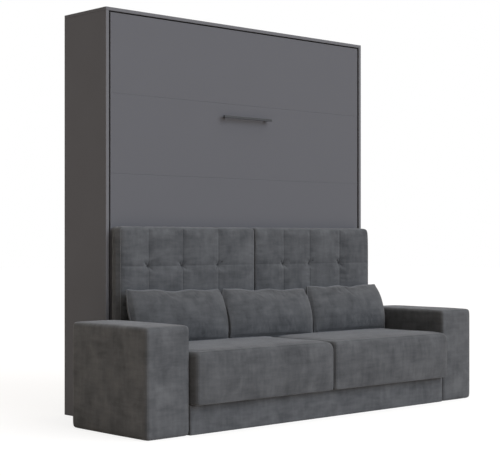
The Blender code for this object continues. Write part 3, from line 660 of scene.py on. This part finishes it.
def even_out(points):
    """Averages each point of a closed line with its two neighbours, a few times."""
    for _ in range(SEAM_ROUNDS):
        points = (np.roll(points, 1, axis=0) + 2 * points + np.roll(points, -1, axis=0)) / 4
    return points


def sew(name, obj, lines, radius, body, finish, slot="grey_velvet"):
    """Lays a thin ridge on obj along each of these closed lines, as one piece."""
    tree = tree_of([obj])
    curve = bpy.data.curves.new(name, "CURVE")
    curve.dimensions = "3D"
    curve.bevel_depth = radius
    curve.bevel_resolution = 1
    for corners in lines:
        found = even_out(np.array([tree.find_nearest(point)[0][:] for point in walk(corners)]))
        spline = curve.splines.new("POLY")
        spline.points.add(len(found) - 1)
        for point, place in zip(spline.points, found):
            point.co = (*place, 1)
        spline.use_cyclic_u = True
    seam = bpy.data.objects.new(name, curve)
    bpy.context.scene.collection.objects.link(seam)
    make_active(seam)
    bpy.ops.object.convert(target="MESH")
    seam = bpy.context.object
    smooth(seam)
    dress(seam, body, slot, finish)


def rings(low, high, *depths):
    """The outline of a box, as seen from the front, at each of these depths."""
    outline = ((low[0], low[2]), (high[0], low[2]), (high[0], high[2]), (low[0], high[2]))
    return [[(x, y, z) for x, z in outline] for y in depths]


# %% [markdown]
# ## Armrests
#
# Each armrest is a board box with a thin layer of foam under the cover, a little thicker on
# its outer side. So it is nearly flat but not quite: its top and its front are a little full,
# and its edges are softly round.

# %% Armrests
ARMREST_ROUND = 0.020
ARMREST_WIDER = 0.006
ARMREST_FULL = np.array((0.0012, 0.003, 0.004))
ARMREST_INSET = ARMREST_FULL * 0.6
ARMREST_STRIPS = (8, 16, 14)


def upholster(name, low, high, rounding, segments, strips, full, start):
    """A box-shaped cover with round edges, whose sides bulge a little, most in their middle."""
    obj = add_block(name, low, high)
    round_edges(obj, rounding, segments)
    cut_strips(obj, low + rounding, high - rounding, strips)
    points = points_of(obj)
    shares = shares_of(points, low, high)
    for axis in range(3):
        a, b = [i for i in range(3) if i != axis]
        dome = (1 - shares[:, a] ** 4) * (1 - shares[:, b] ** 4)
        wave = 1 + 0.25 * np.sin(7.1 * shares[:, a] + start) * np.sin(5.3 * shares[:, b] + 2 * start)
        points[:, axis] += full[axis] * dome * wave * shares[:, axis] ** 5
    points[:, 2] = np.maximum(points[:, 2], low[2])
    set_points(obj, points)
    refine(obj)
    smooth(obj)
    return obj


for start, (side, sign) in enumerate(SIDES, 1):
    low, high = box_of(f"armrest_{side}")
    low[:2] += ARMREST_INSET[:2]
    high -= ARMREST_INSET
    (low if sign < 0 else high)[0] += sign * ARMREST_WIDER
    armrest = upholster(
        f"armrest_cover_{side}", low, high, ARMREST_ROUND, 4, ARMREST_STRIPS, ARMREST_FULL, start
    )
    finish = f"velvet_armrest_{side}"
    dress(armrest, "cabinet", "grey_velvet", finish, [f"armrest_{side}"])
    lines = rings(low, high, low[1], high[1])
    sew(f"armrest_seam_{side}", armrest, lines, THIN_SEAM, "cabinet", finish)
    print("armrest", side, len(armrest.data.polygons), "faces")

# %% [markdown]
# ## Base
#
# The base's front panel is covered in the same way. It is only 3 cm thick and its cover is
# tight. The other panels of the base hardly show, so the construction nodes stay for them.

# %% Front panel of the base
BASE_ROUND = 0.006
BASE_FULL = np.array((0.0, 0.0025, 0.0))
BASE_STRIPS = (40, 2, 6)

low, high = box_of("sofa_base_front")
low += BASE_FULL
base_front = upholster("sofa_base_cover", low, high, BASE_ROUND, 3, BASE_STRIPS, BASE_FULL, 3)
dress(base_front, "cabinet", "grey_velvet", None, ["sofa_base_front"])

# %% [markdown]
# ## Filling the cushions
#
# A stuffed cover is a balloon made of cloth: the filling pushes it out and the seams hold it
# back. The cloth solver does just that with a little inner pressure and no gravity. Points
# that a seam or a tuft holds are pinned. All covers are blown up together, frame by frame,
# then the result is kept and each point's way is capped, so that nothing leaves its place.

# %% Cloth simulation
CLOTH_FRAMES = 16
CLOTH = {
    "quality": 5, "mass": 0.3, "tension_stiffness": 15.0, "compression_stiffness": 15.0,
    "shear_stiffness": 7.5, "bending_stiffness": 0.4, "use_pressure": True,
}
HOLD_STEPS = 10
covers = []


def remesh(obj, voxel):
    obj.data.remesh_voxel_size = voxel
    make_active(obj)
    bpy.ops.object.voxel_remesh()


def prepare_cover(obj, hold, pressure, cap, spare):
    """Makes an evenly meshed cover ready to be blown up.

    hold says how firmly each point is sewn, cap how far a point may move at most, and spare
    what share of the cloth's size is to spare.
    """
    covers.append({"obj": obj, "start": points_of(obj), "cap": cap})
    cloth = obj.modifiers.new("filling", "CLOTH")
    settings = cloth.settings
    for key, value in CLOTH.items():
        setattr(settings, key, value)
    settings.uniform_pressure_force = pressure
    settings.shrink_min = -spare
    settings.effector_weights.gravity = 0
    cloth.collision_settings.use_collision = False
    cloth.point_cache.frame_start = 1
    cloth.point_cache.frame_end = CLOTH_FRAMES
    group = obj.vertex_groups.new(name="sewn")
    for step in range(1, HOLD_STEPS + 1):
        chosen = np.nonzero(np.round(hold * HOLD_STEPS) == step)[0]
        if len(chosen):
            group.add(chosen.tolist(), step / HOLD_STEPS, "REPLACE")
    settings.vertex_group_mass = "sewn"


def fill_covers():
    """Runs the solver for all covers at once and keeps their filled shapes."""
    scene = bpy.context.scene
    for number in range(1, CLOTH_FRAMES + 1):
        scene.frame_set(number)
    graph = bpy.context.evaluated_depsgraph_get()
    for cover in covers:
        filled = points_of(cover["obj"].evaluated_get(graph))
        way = filled - cover["start"]
        length = np.linalg.norm(way, axis=1, keepdims=True)
        cover["longest"] = float(length.max())
        way *= cover["cap"] * np.tanh(length / cover["cap"]) / np.maximum(length, 1e-9)
        cover["filled"] = cover["start"] + way
    for cover in covers:
        obj = cover["obj"]
        obj.modifiers.clear()
        obj.vertex_groups.clear()
        set_points(obj, cover["filled"])
        swelled = round(cover["longest"] * 1000)
        print(obj.name, len(cover["start"]), "points, swelled by up to", swelled, "mm")
    scene.frame_set(1)


def edge_nearness(points, low, high, reach):
    """1 on the edges of a box-shaped cover, falling to 0 at this distance from them."""
    away = np.minimum(points - low, high - points)
    away.sort(axis=1)
    return np.clip(1.3 - (np.abs(away[:, 0]) + away[:, 1]) / reach, 0, 1)


# %% [markdown]
# ## Seat cushions
#
# Two thick foam cushions. Each starts as a block whose top falls to the right in a wide curve,
# as in the picture, and whose front is framed by a tighter edge. The top has a low crown, and
# the underside lies flat on the base. The edges are sewn, and the rest is blown up.

# %% Seat cushions
SEAT_LEFT_ROUND = 0.026
SEAT_RIGHT_ROUND = 0.050
SEAT_FRONT_ROUND = 0.022
SEAT_FOOT_ROUND = 0.010
SEAT_SIDE_SPACE = 0.0005
SEAT_AHEAD = 0.013
SEAT_BACK_SPACE = 0.003
SEAT_TOP_SPACE = 0.027
SEAT_VOXEL = 0.008
SEAT_CROWN = 0.002
SEAT_FRONT_FULL = 0.007
SEAT_EDGE_HELD = 0.030
SEAT_FOOT_HELD = 0.012
seats = {}


def at_level(level):
    """Accepts the edges that lie at this height."""
    return lambda start, end: abs(start.z - level) < 1e-5 and abs(end.z - level) < 1e-5


def runs_back(start, end):
    """Accepts the edges that run from front to back."""
    return abs(start.y - end.y) > 1e-5


for side, _ in SIDES:
    low, high = box_of(f"seat_cushion_{side}")
    start_low = low - (-SEAT_SIDE_SPACE, SEAT_AHEAD, 0)
    start_high = high - (SEAT_SIDE_SPACE, SEAT_BACK_SPACE, SEAT_TOP_SPACE)
    foot, middle = start_low[2], (low[0] + high[0]) / 2
    at_foot = at_level(foot)
    seat = add_block(f"seat_cover_{side}", start_low, start_high)
    for width, segments, sign in ((SEAT_LEFT_ROUND, 4, -1), (SEAT_RIGHT_ROUND, 7, 1)):
        round_edges(
            seat, width, segments,
            lambda a, b: runs_back(a, b) and not at_foot(a, b) and sign * (a.x - middle) > 0,
        )
    round_edges(seat, SEAT_FRONT_ROUND, 4, lambda a, b: not runs_back(a, b) and not at_foot(a, b))
    round_edges(seat, SEAT_FOOT_ROUND, 3, at_foot)
    remesh(seat, SEAT_VOXEL)
    points = points_of(seat)
    shares = shares_of(points, start_low, start_high)
    top = (1 - abs(shares[:, 0]) ** 4) * (1 - abs(shares[:, 1]) ** 4)
    points[:, 2] += SEAT_CROWN * top * ((1 + shares[:, 2]) / 2) ** 3
    front = (1 - abs(shares[:, 0]) ** 4) * (1 - abs(shares[:, 2]) ** 3)
    points[:, 1] -= SEAT_FRONT_FULL * front * ((1 - shares[:, 1]) / 2) ** 6
    set_points(seat, points)
    hold = edge_nearness(points, start_low, start_high, SEAT_EDGE_HELD)
    hold = np.maximum(hold, np.clip(1 - (points[:, 2] - foot) / SEAT_FOOT_HELD, 0, 1))
    prepare_cover(seat, hold, pressure=2.5, cap=0.006, spare=0.004)
    seats[side] = (seat, low, high)

# %% [markdown]
# ## Back cushions
#
# Two wide cushions whose fronts are drawn in at three points a row, with fine seams through
# them. The block is fuller above the seats, and it is pushed in softly along the seams and at
# the tufts. Those places stay sewn, and the cloth between them is blown up. The outer ends are
# a little full too, but they still pass between the armrests when the bed comes down.

# %% Back cushions
COLUMN_SHARES = {"left": (0.199, 0.444, 0.711), "right": (0.238, 0.463, 0.732)}
ROW_SHARES = (1 / 3, 2 / 3)
BACK_INSETS = ((0.001, 0.007, 0.001), (0.001, 0.0003, -0.002))
BACK_ROUND = 0.021
BACK_VOXEL = 0.006
BELLY = 0.009
BELLY_LEVELS = (0.46, 0.53)
LEFT_END_FALL = 0.026
LEFT_END_REACH = 0.045
TUFT_FUNNEL = (0.013, 0.026)
UPRIGHT_VALLEY = (0.004, 0.018)
LEVEL_VALLEY = (0.0015, 0.016)
BACK_END_FULL = 0.010
BACK_END_MOST = 0.006
EDGE_HOLD = 0.8
TUFT_HOLD = (1.0, 0.012)
UPRIGHT_HOLD = (0.5, 0.007)
LEVEL_HOLD = (0.2, 0.006)
REAR_HELD = 0.010
backs = {}


def back_places(side, low, high):
    """Where the upright and the level seams of a back cushion run."""
    columns = [low[0] + (high[0] - low[0]) * share for share in COLUMN_SHARES[side]]
    rows = [low[2] + (high[2] - low[2]) * share for share in ROW_SHARES]
    return columns, rows


def seam_distances(points, side, low, high):
    """How far each point is from the nearest upright seam, level seam and tuft of a back cushion."""
    columns, rows = back_places(side, low, high)
    upright = np.min([abs(points[:, 0] - x) for x in columns], axis=0)
    level = np.min([abs(points[:, 2] - z) for z in rows], axis=0)
    return upright, level, np.hypot(upright, level)


def bell(distance, height, reach):
    """This height at no distance, and falling to 0 like a bell within about twice the reach."""
    return height * np.exp(-((distance / reach) ** 2))


def front_share(points, high):
    """1 on the front of a back cushion and 0 near its flat back."""
    return np.clip((high[1] - 0.030 - points[:, 1]) / 0.030, 0, 1)


def away_from_ends(points, axis, low, high, margin=0.022):
    """0 at both ends of a box along this axis, and 1 beyond the margin from them."""
    before, after = points[:, axis] - low[axis], high[axis] - points[:, axis]
    return np.clip(before / margin, 0, 1) * np.clip(after / margin, 0, 1)


for side, outwards in SIDES:
    low, high = box_of(f"back_cushion_{side}")
    start_low, start_high = low + BACK_INSETS[0], high - BACK_INSETS[1]
    back = add_block(f"back_cover_{side}", start_low, start_high)
    round_edges(back, BACK_ROUND, 4)
    remesh(back, BACK_VOXEL)
    points = points_of(back)
    front = front_share(points, high)
    shares = shares_of(points, start_low, start_high)
    end = np.clip(outwards * shares[:, 0], 0, 1) ** 12
    points[:, 0] += outwards * BACK_END_FULL * end * (1 - shares[:, 2] ** 6) * np.sqrt(front)
    belly = np.clip((points[:, 2] - BELLY_LEVELS[0]) / (BELLY_LEVELS[1] - BELLY_LEVELS[0]), 0, 1)
    points[:, 1] -= BELLY * belly * front
    if side == "left":
        fall = np.clip((low[0] + LEFT_END_REACH - points[:, 0]) / LEFT_END_REACH, 0, 1)
        points[:, 1] += LEFT_END_FALL * (1 - np.sqrt(1 - fall ** 2)) * front
    upright, level, tufts = seam_distances(points, side, low, high)
    sunk = bell(tufts, *TUFT_FUNNEL)
    sunk = np.maximum(sunk, bell(upright, *UPRIGHT_VALLEY) * away_from_ends(points, 2, low, high))
    sunk = np.maximum(sunk, bell(level, *LEVEL_VALLEY) * away_from_ends(points, 0, low, high))
    points[:, 1] += sunk * front
    set_points(back, points)
    hold = EDGE_HOLD * edge_nearness(points, start_low, start_high, BACK_ROUND)
    for distance, firmness in ((tufts, TUFT_HOLD), (upright, UPRIGHT_HOLD), (level, LEVEL_HOLD)):
        hold = np.maximum(hold, front * bell(distance, *firmness))
    hold = np.where(points[:, 1] > start_high[1] - REAR_HELD, 1.0, hold)
    prepare_cover(back, np.clip(hold, 0, 1), pressure=2.2, cap=0.006, spare=0.010)
    backs[side] = (back, low, high)

# %% [markdown]
# ## Pillows
#
# A pillow is two rectangles of cloth, sewn along their edges and stuffed. The block is cut
# into a grid and swelled by a rule: full in the middle, thin at the seam, with sides that
# bow out until they press on the next pillow. It is then tilted back to the lean of its
# construction node and a touch to one side, meshed evenly and blown up.

# %% Pillows
PILLOW_SIZES = ((0.636, 0.012, 0.292), (0.624, 0.012, 0.282), (0.590, 0.012, 0.284))
PILLOW_PLACES = ((0.008, -0.001, -0.016), (0.008, -0.018, -0.023), (0.010, -0.018, -0.020))
PILLOW_TILTS = (math.radians(1.3), math.radians(1.3), math.radians(0.3))
PILLOW_ENDS = (-0.9760, -0.3215, 0.3300, 0.9860)
PILLOW_SIDE_FULL = 0.018
PILLOW_SPREADS = (-0.022, 0.026, 0.026)
PILLOW_SHEAR = 0.020
PILLOW_FULL_FRONT = 0.064
PILLOW_FULL_BACK = 0.082
PILLOW_BOW = 0.006
PILLOW_WAVE = 0.008
PILLOW_LEAN = math.radians(20.5)
PILLOW_VOXEL = 0.006
PILLOW_RIM = 0.004
PILLOW_RIM_HELD = 0.014
PILLOW_HOLD = 0.85
pillows = []


def pillow_axes(number):
    """The directions to a pillow's right, to its back and up along it."""
    tilt = PILLOW_TILTS[number - 1]
    back = np.array((0, math.cos(PILLOW_LEAN), -math.sin(PILLOW_LEAN)))
    up = np.array((0, math.sin(PILLOW_LEAN), math.cos(PILLOW_LEAN)))
    right = np.array((1.0, 0, 0))
    up, right = up * math.cos(tilt) + right * math.sin(tilt), right * math.cos(tilt) - up * math.sin(tilt)
    return right, back, up


for number, size, place in zip((1, 2, 3), np.array(PILLOW_SIZES), np.array(PILLOW_PLACES)):
    low, high = box_of(f"pillow_{number}")
    centre = (low + high) / 2 + place
    pillow = add_block(f"pillow_cover_{number}", -size / 2, size / 2)
    cut_strips(pillow, -size / 2, size / 2, (40, 1, 22))
    points = points_of(pillow)
    u, v, w = (np.clip(2 * points[:, i] / size[i], -1, 1) for i in range(3))
    full = ((1 - abs(u) ** 3.4) * (1 - abs(w) ** 2.8)) ** 0.58
    points[:, 1] += np.where(v > 0, PILLOW_FULL_BACK, -PILLOW_FULL_FRONT) * full
    points[:, 1] -= PILLOW_BOW * (1 - w ** 2)
    points[:, 0] += PILLOW_SIDE_FULL * u * (1 - w ** 2)
    spread = PILLOW_SPREADS[number - 1]
    points[:, 0] += (spread * np.clip(u, -1, 0) - PILLOW_SHEAR) * (1 - w) / 2
    wave = 1 + 0.7 * np.sin(8 * u + 2 * number)
    points[:, 2] -= PILLOW_WAVE * np.clip(w, 0, 1) * (1 - u ** 2) * wave
    right, behind, up = pillow_axes(number)
    points = centre + points[:, :1] * right + points[:, 1:2] * behind + points[:, 2:] * up
    set_points(pillow, points)
    remesh(pillow, PILLOW_VOXEL)
    points = points_of(pillow)
    local = points - centre
    w = local @ up
    u = local @ right + PILLOW_SHEAR * (0.5 - w / size[2])
    half_width = size[0] / 2 + PILLOW_SIDE_FULL * (1 - (2 * w / size[2]) ** 2)
    half_width += spread * (u < 0) * (0.5 - w / size[2])
    rim = np.minimum(half_width - abs(u), size[2] / 2 - abs(w))
    hold = np.clip(1 - (rim - PILLOW_RIM) / PILLOW_RIM_HELD, 0, PILLOW_HOLD)
    prepare_cover(pillow, hold, pressure=2.0, cap=0.008, spare=0.003)
    pillows.append((pillow, centre, size))

# %% Fill all covers
fill_covers()

# %% [markdown]
# A cushion is flat where it rests on something. So no point of a seat may pass its neighbours,
# the base or the armrests, and no point of a pillow may sink into the seats or the backs.

# %% Finish the seats
END_SPACE = 0.0003


def finish_cover(obj, body, finish, replaced, carve=None):
    """Refines a filled cover, presses its stitches in and lets it stand for its node."""
    refine(obj)
    if carve:
        set_points(obj, carve(points_of(obj)))
    smooth(obj)
    dress(obj, body, "grey_velvet", finish, [replaced])
    print(obj.name, len(obj.data.polygons), "faces")


for side, (seat, low, high) in seats.items():
    points = points_of(seat)
    points[:, 0] = np.clip(points[:, 0], low[0] + END_SPACE, high[0] - END_SPACE)
    points[:, 1] = np.minimum(points[:, 1], high[1])
    points[:, 2] = np.maximum(points[:, 2], low[2])
    set_points(seat, points)
    finish_cover(seat, f"seat_cushion_{side}_body", f"velvet_seat_{side}", f"seat_cushion_{side}")

# %% [markdown]
# The stitches are finer than the mesh of the simulation, so they are pressed in afterwards. At
# each tuft the cloth gathers: a small pit, one long crease through it and a short one.

# %% Stitch the back cushions
UPRIGHT_STITCH = (0.0028, 0.0034)
LEVEL_STITCH = (0.0012, 0.0030)
STITCH_MARGIN = 0.012
TUFT_PIT = (0.005, 0.0070)
TUFT_CREASES = (
    ((-0.024, 0.016), (0.020, -0.018), 0.0060, 0.0040),
    ((0.003, 0.003), (0.016, 0.022), 0.0022, 0.0036),
    ((-0.004, -0.004), (-0.014, -0.024), 0.0022, 0.0034),
)
CREASE_MIRRORS = {"left": (1, 1, -1), "right": (1, -1, 1)}


def segment_distance(x, z, start, end):
    """How far points are from a line between two places, and how far along it they lie."""
    run, rise = end[0] - start[0], end[1] - start[1]
    share = ((x - start[0]) * run + (z - start[1]) * rise) / (run ** 2 + rise ** 2)
    share = np.clip(share, 0, 1)
    return np.hypot(x - start[0] - share * run, z - start[1] - share * rise), share


def stitch_back(side, low, high):
    """A function that presses the stitches and the gathers of this cushion into its points."""

    def carve(points):
        front = front_share(points, high)
        upright, level, tufts = seam_distances(points, side, low, high)
        sunk = bell(upright, *UPRIGHT_STITCH) * away_from_ends(points, 2, low, high, STITCH_MARGIN)
        stitch = bell(level, *LEVEL_STITCH) * away_from_ends(points, 0, low, high, STITCH_MARGIN)
        sunk = np.maximum(sunk, stitch) + bell(tufts, *TUFT_PIT)
        columns, rows = back_places(side, low, high)
        for column, mirror in zip(columns, CREASE_MIRRORS[side]):
            for row in rows:
                x, z = mirror * (points[:, 0] - column), points[:, 2] - row
                for start, end, depth, reach in TUFT_CREASES:
                    distance, share = segment_distance(x, z, start, end)
                    sunk += bell(distance, depth, reach) * (1 - 0.5 * share)
        points[:, 1] += sunk * front
        return points

    return carve


for side, (back, low, high) in backs.items():
    points = points_of(back)
    left_more, right_more = {"left": (BACK_END_MOST, 0), "right": (0, BACK_END_MOST)}[side]
    left_end, right_end = low[0] - left_more, high[0] + right_more
    points[:, 0] = np.clip(points[:, 0], left_end + END_SPACE, right_end - END_SPACE)
    points[:, 1] = np.minimum(points[:, 1], high[1])
    set_points(back, points)
    carve = stitch_back(side, low, high)
    finish_cover(back, "bed", f"velvet_back_{side}", f"back_cushion_{side}", carve)

# %% Rest the pillows
PILLOW_CLEAR = 0.0008
BETWEEN_ARMRESTS = 0.9690
ARMREST_DOME = 0.004
SEAT_REAR = 0.07

seat_tree = tree_of(seat for seat, _, _ in seats.values())
back_tree = tree_of(back for back, _, _ in backs.values())
armrest_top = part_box("armrest_left")[1][2] + ARMREST_DOME
for number, (pillow, centre, size) in enumerate(pillows, 1):
    points = points_of(pillow)
    sheared = PILLOW_SHEAR * np.clip(0.5 - (points[:, 2] - centre[2]) / size[2], 0, 1)
    left_end, right_end = (end - sheared for end in PILLOW_ENDS[number - 1:number + 1])
    points[:, 0] = np.clip(points[:, 0], left_end + PILLOW_CLEAR, right_end - PILLOW_CLEAR)
    beside = points[:, 2] < armrest_top
    points[beside, 0] = np.clip(points[beside, 0], -BETWEEN_ARMRESTS, BETWEEN_ARMRESTS)
    for i, (x, y, z) in enumerate(points):
        below = seat_tree.ray_cast(Vector((x, y, 1.0)), Vector((0, 0, -1)))[0]
        if below and z < below.z + PILLOW_CLEAR and y < SEAT_REAR:
            points[i, 2] = below.z + PILLOW_CLEAR
        behind = back_tree.ray_cast(Vector((x, -1.0, z)), Vector((0, 1, 0)))[0]
        if behind and y > behind.y - PILLOW_CLEAR:
            points[i, 1] = behind.y - PILLOW_CLEAR
    set_points(pillow, points)
    finish_cover(pillow, f"pillow_{number}_body", f"velvet_pillow_{number}", f"pillow_{number}")

# %% Seams of the cushions
SEAT_SEAM = 0.0018
SEAT_SEAM_AHEAD = 0.008
PILLOW_SEAM = 0.0026
PILLOW_SEAM_REACH = 0.53
PILLOW_SEAM_AHEAD = 0.007

for side, (seat, low, high) in seats.items():
    lines = rings(low, high, low[1] - SEAT_AHEAD - SEAT_SEAM_AHEAD, high[1])
    sew(f"seat_seam_{side}", seat, lines, SEAT_SEAM, f"seat_cushion_{side}_body", f"velvet_seat_{side}")

# The back seams take the lighter seam velvet: a painted highlight along the ridge.
for side, (back, low, high) in backs.items():
    sew(f"back_seam_{side}", back, rings(low, high, low[1]), THIN_SEAM, "bed", "velvet_seam")

# The pillow seams take the lighter seam velvet: a painted highlight along the ridge.
for number, (pillow, centre, size) in enumerate(pillows, 1):
    right, behind, up = pillow_axes(number)
    reach, rise = right * size[0] * PILLOW_SEAM_REACH, up * size[2] * PILLOW_SEAM_REACH
    middle = centre - PILLOW_SEAM_AHEAD * behind
    corners = [middle + a * reach + b * rise for a, b in ((-1, -1), (1, -1), (1, 1), (-1, 1))]
    sew(f"pillow_seam_{number}", pillow, [corners], PILLOW_SEAM, f"pillow_{number}_body", "velvet_seam")

# %% [markdown]
# ## Mattress
#
# The mattress only shows from behind and when the bed is down. Its cover is quilted in
# diamonds, and tape is sewn along both outlines. The quilting stays under the straps.

# %% Mattress
MATTRESS_ROUND = 0.022
MATTRESS_STRIPS = (100, 4, 112)
DIAMOND = 0.170
QUILT_DEPTH = 0.006
QUILT_FADE = 0.010
QUILT_MARGIN = 0.06
TAPE = 0.0022

low, high = box_of("mattress")
mattress_high = high - (0, QUILT_DEPTH, 0)
mattress = add_block("mattress_cover", low, mattress_high)
round_edges(mattress, MATTRESS_ROUND, 4)
cut_strips(mattress, low + MATTRESS_ROUND, mattress_high - MATTRESS_ROUND, MATTRESS_STRIPS)
points = points_of(mattress)
across = (points[:, 0] + points[:, 2]) * math.pi / DIAMOND
down = (points[:, 0] - points[:, 2]) * math.pi / DIAMOND
puff = np.sqrt(abs(np.sin(across) * np.sin(down)))
puff *= np.clip((points[:, 1] - mattress_high[1] + QUILT_FADE) / QUILT_FADE, 0, 1)
for axis in (0, 2):
    puff *= away_from_ends(points, axis, low, high, QUILT_MARGIN)
points[:, 1] += QUILT_DEPTH * puff
set_points(mattress, points)
smooth(mattress)
dress(mattress, "bed", "mattress_ticking", None, ["mattress"])
lines = rings(low, high, low[1], high[1])
sew("mattress_tape", mattress, lines, TAPE, "bed", "mattress_ticking", "mattress_ticking")
print("mattress", len(mattress.data.polygons), "faces")

# %% [markdown]
# ## Hardware
#
# Screws hold the pivot plates, the bed plates and the wall brackets. One is modelled, with a
# round edge and a socket in its head, and the others are copies of it. Each strut's cylinder
# ends in a collar, each leg has a rubber sleeve, and each strap a buckle.

# %% One screw
SCREW_RADIUS = 0.0060
SCREW_HEIGHT = 0.0030
SCREW_ROUND = 0.0009
SOCKET_RIM = 0.0024
SOCKET_DEPTH = 0.0014


def sink_faces(obj, choose, rim, depth):
    """Sinks a pocket into the faces whose centre choose() accepts, and leaves a rim round it."""
    open_selected(obj, "FACE", lambda face: choose(face.center))
    bpy.ops.mesh.inset(thickness=rim)
    bpy.ops.mesh.extrude_region_shrink_fatten(TRANSFORM_OT_shrink_fatten={"value": -depth})
    bpy.ops.object.mode_set(mode="OBJECT")


deselect()
bpy.ops.mesh.primitive_cylinder_add(
    vertices=24, radius=SCREW_RADIUS, depth=SCREW_HEIGHT, location=(0, 0, SCREW_HEIGHT / 2)
)
screw = bpy.context.object
bpy.ops.object.transform_apply(location=True, rotation=True, scale=True)
round_edges(screw, SCREW_ROUND, 2, at_level(SCREW_HEIGHT))
sink_faces(screw, lambda centre: centre.z > SCREW_HEIGHT * 0.99, SOCKET_RIM, SOCKET_DEPTH)
smooth(screw, HARD_ANGLE)

# %% Copies of the screw
PLATE_INSET = 0.014
RAIL_FACE = 0.0053
RAIL_DROPS = (0.016, 0.056)
BRACKET_INSET = 0.018
BRACKET_THICK = 0.003


def place_screws(name, places, towards, body):
    """Copies the screw to these places, with its head pointing this way, as one piece."""
    copies = []
    for place in places:
        make_active(screw)
        bpy.ops.object.duplicate(linked=False)
        copy = bpy.context.object
        copy.location = place
        copy.rotation_euler = Vector(towards).to_track_quat("Z", "Y").to_euler()
        copies.append(copy)
    make_active(copies[0])
    for copy in copies:
        copy.select_set(True)
    bpy.ops.object.join()
    piece = bpy.context.object
    piece.name = name
    bpy.ops.object.transform_apply(location=True, rotation=True, scale=True)
    dress(piece, body, "bright_steel")


for side, sign in SIDES:
    low, high = box_of(f"pivot_plate_{side}")
    face = (high if sign < 0 else low)[0]
    levels = (low[2] + PLATE_INSET, high[2] - PLATE_INSET, (low[2] + high[2]) / 2)
    places = [(face, y, z) for z in levels for y in (low[1] + PLATE_INSET, high[1] - PLATE_INSET)]
    place_screws(f"pivot_plate_screws_{side}", places, (-sign, 0, 0), "cabinet")
    low, high = box_of(f"bed_rail_{side}")
    face = (low if sign < 0 else high)[0] + sign * RAIL_FACE
    plate_top = box_of(f"bed_plate_{side}")[1][2]
    places = [(face, (low[1] + high[1]) / 2, plate_top - drop) for drop in RAIL_DROPS]
    place_screws(f"bed_plate_screws_{side}", places, (sign, 0, 0), "bed")
    low, high = box_of(f"wall_bracket_{side}")
    middle, y, z = (low[0] + high[0]) / 2, low[1] + BRACKET_INSET, high[2] - BRACKET_THICK
    places = [(middle - BRACKET_INSET, y, z), (middle + BRACKET_INSET, y, z)]
    place_screws(f"wall_bracket_screws_{side}", places, (0, 0, -1), "cabinet")
deselect()
screw.select_set(True)
bpy.ops.object.delete()

# %% Strut collars and leg sleeves
COLLAR_RADIUS = 0.0108
COLLAR_THICK = 0.0017
COLLAR_STRETCH = 2.4
COLLAR_BEFORE_END = 0.008
SLEEVE = np.array((0.0011, 0.0011, 0))
SLEEVE_HEIGHT = 0.035
TRIM_ROUND = 0.0008

for side, _ in SIDES:
    pin_low, pin_high = box_of(f"strut_pin_{side}")
    low, high = box_of(f"strut_cylinder_{side}")
    upper = (pin_low + pin_high) / 2
    tilt = math.atan2(upper[1] - (low[1] + COLLAR_RADIUS), upper[2] - low[2])
    down = np.array((0, -math.sin(tilt), -math.cos(tilt)))
    length = (upper[2] - low[2]) / math.cos(tilt) - COLLAR_BEFORE_END
    place = np.array(((low[0] + high[0]) / 2, upper[1], upper[2])) + down * length
    turn = Vector(down).to_track_quat("Z", "Y").to_euler()
    deselect()
    bpy.ops.mesh.primitive_torus_add(
        location=place, rotation=turn, major_radius=COLLAR_RADIUS, minor_radius=COLLAR_THICK,
        major_segments=40, minor_segments=10,
    )
    collar = bpy.context.object
    collar.name = f"strut_collar_{side}"
    collar.scale = (1, 1, COLLAR_STRETCH)
    bpy.ops.object.transform_apply(location=True, rotation=True, scale=True)
    smooth(collar)
    dress(collar, f"strut_cylinder_{side}_body", "bright_steel")
    low, high = box_of(f"leg_{side}")
    high[2] = low[2] + SLEEVE_HEIGHT
    sleeve = add_block(f"leg_sleeve_{side}", low - SLEEVE, high + SLEEVE)
    round_edges(sleeve, TRIM_ROUND, 2)
    smooth(sleeve, HARD_ANGLE)
    dress(sleeve, "legs", "strut_black", "black_plastic")

# %% Strap buckles
BUCKLE = np.array((0.062, 0.005, 0.052))
BUCKLE_SHIFT = 0.55
BUCKLE_OFF_STRAP = 0.0002
BUCKLE_RIM = 0.007
BUCKLE_POCKET = 0.003
BAR = np.array((0.010, 0.003, 0.040))
BAR_SET_OUT = 0.0015
BAR_ROUND = 0.0012

for level in ("lower", "upper"):
    low, high = box_of(f"mattress_strap_{level}")
    start = np.array((BUCKLE_SHIFT, high[1] + BUCKLE_OFF_STRAP, (low[2] + high[2] - BUCKLE[2]) / 2))
    buckle = add_block(f"strap_buckle_{level}", start, start + BUCKLE)
    outer = start[1] + BUCKLE[1]
    sink_faces(buckle, lambda centre: centre.y > outer - 1e-4, BUCKLE_RIM, BUCKLE_POCKET)
    round_edges(buckle, TRIM_ROUND, 2)
    smooth(buckle, HARD_ANGLE)
    bar_low = start + (BUCKLE - BAR) / 2
    bar_low[1] = start[1] + BAR_SET_OUT
    bar = add_block(f"strap_buckle_bar_{level}", bar_low, bar_low + BAR)
    round_edges(bar, BAR_ROUND, 3)
    smooth(bar, HARD_ANGLE)
    make_active(buckle)
    bar.select_set(True)
    bpy.ops.object.join()
    dress(bpy.context.object, "bed", "strut_black", "black_plastic")
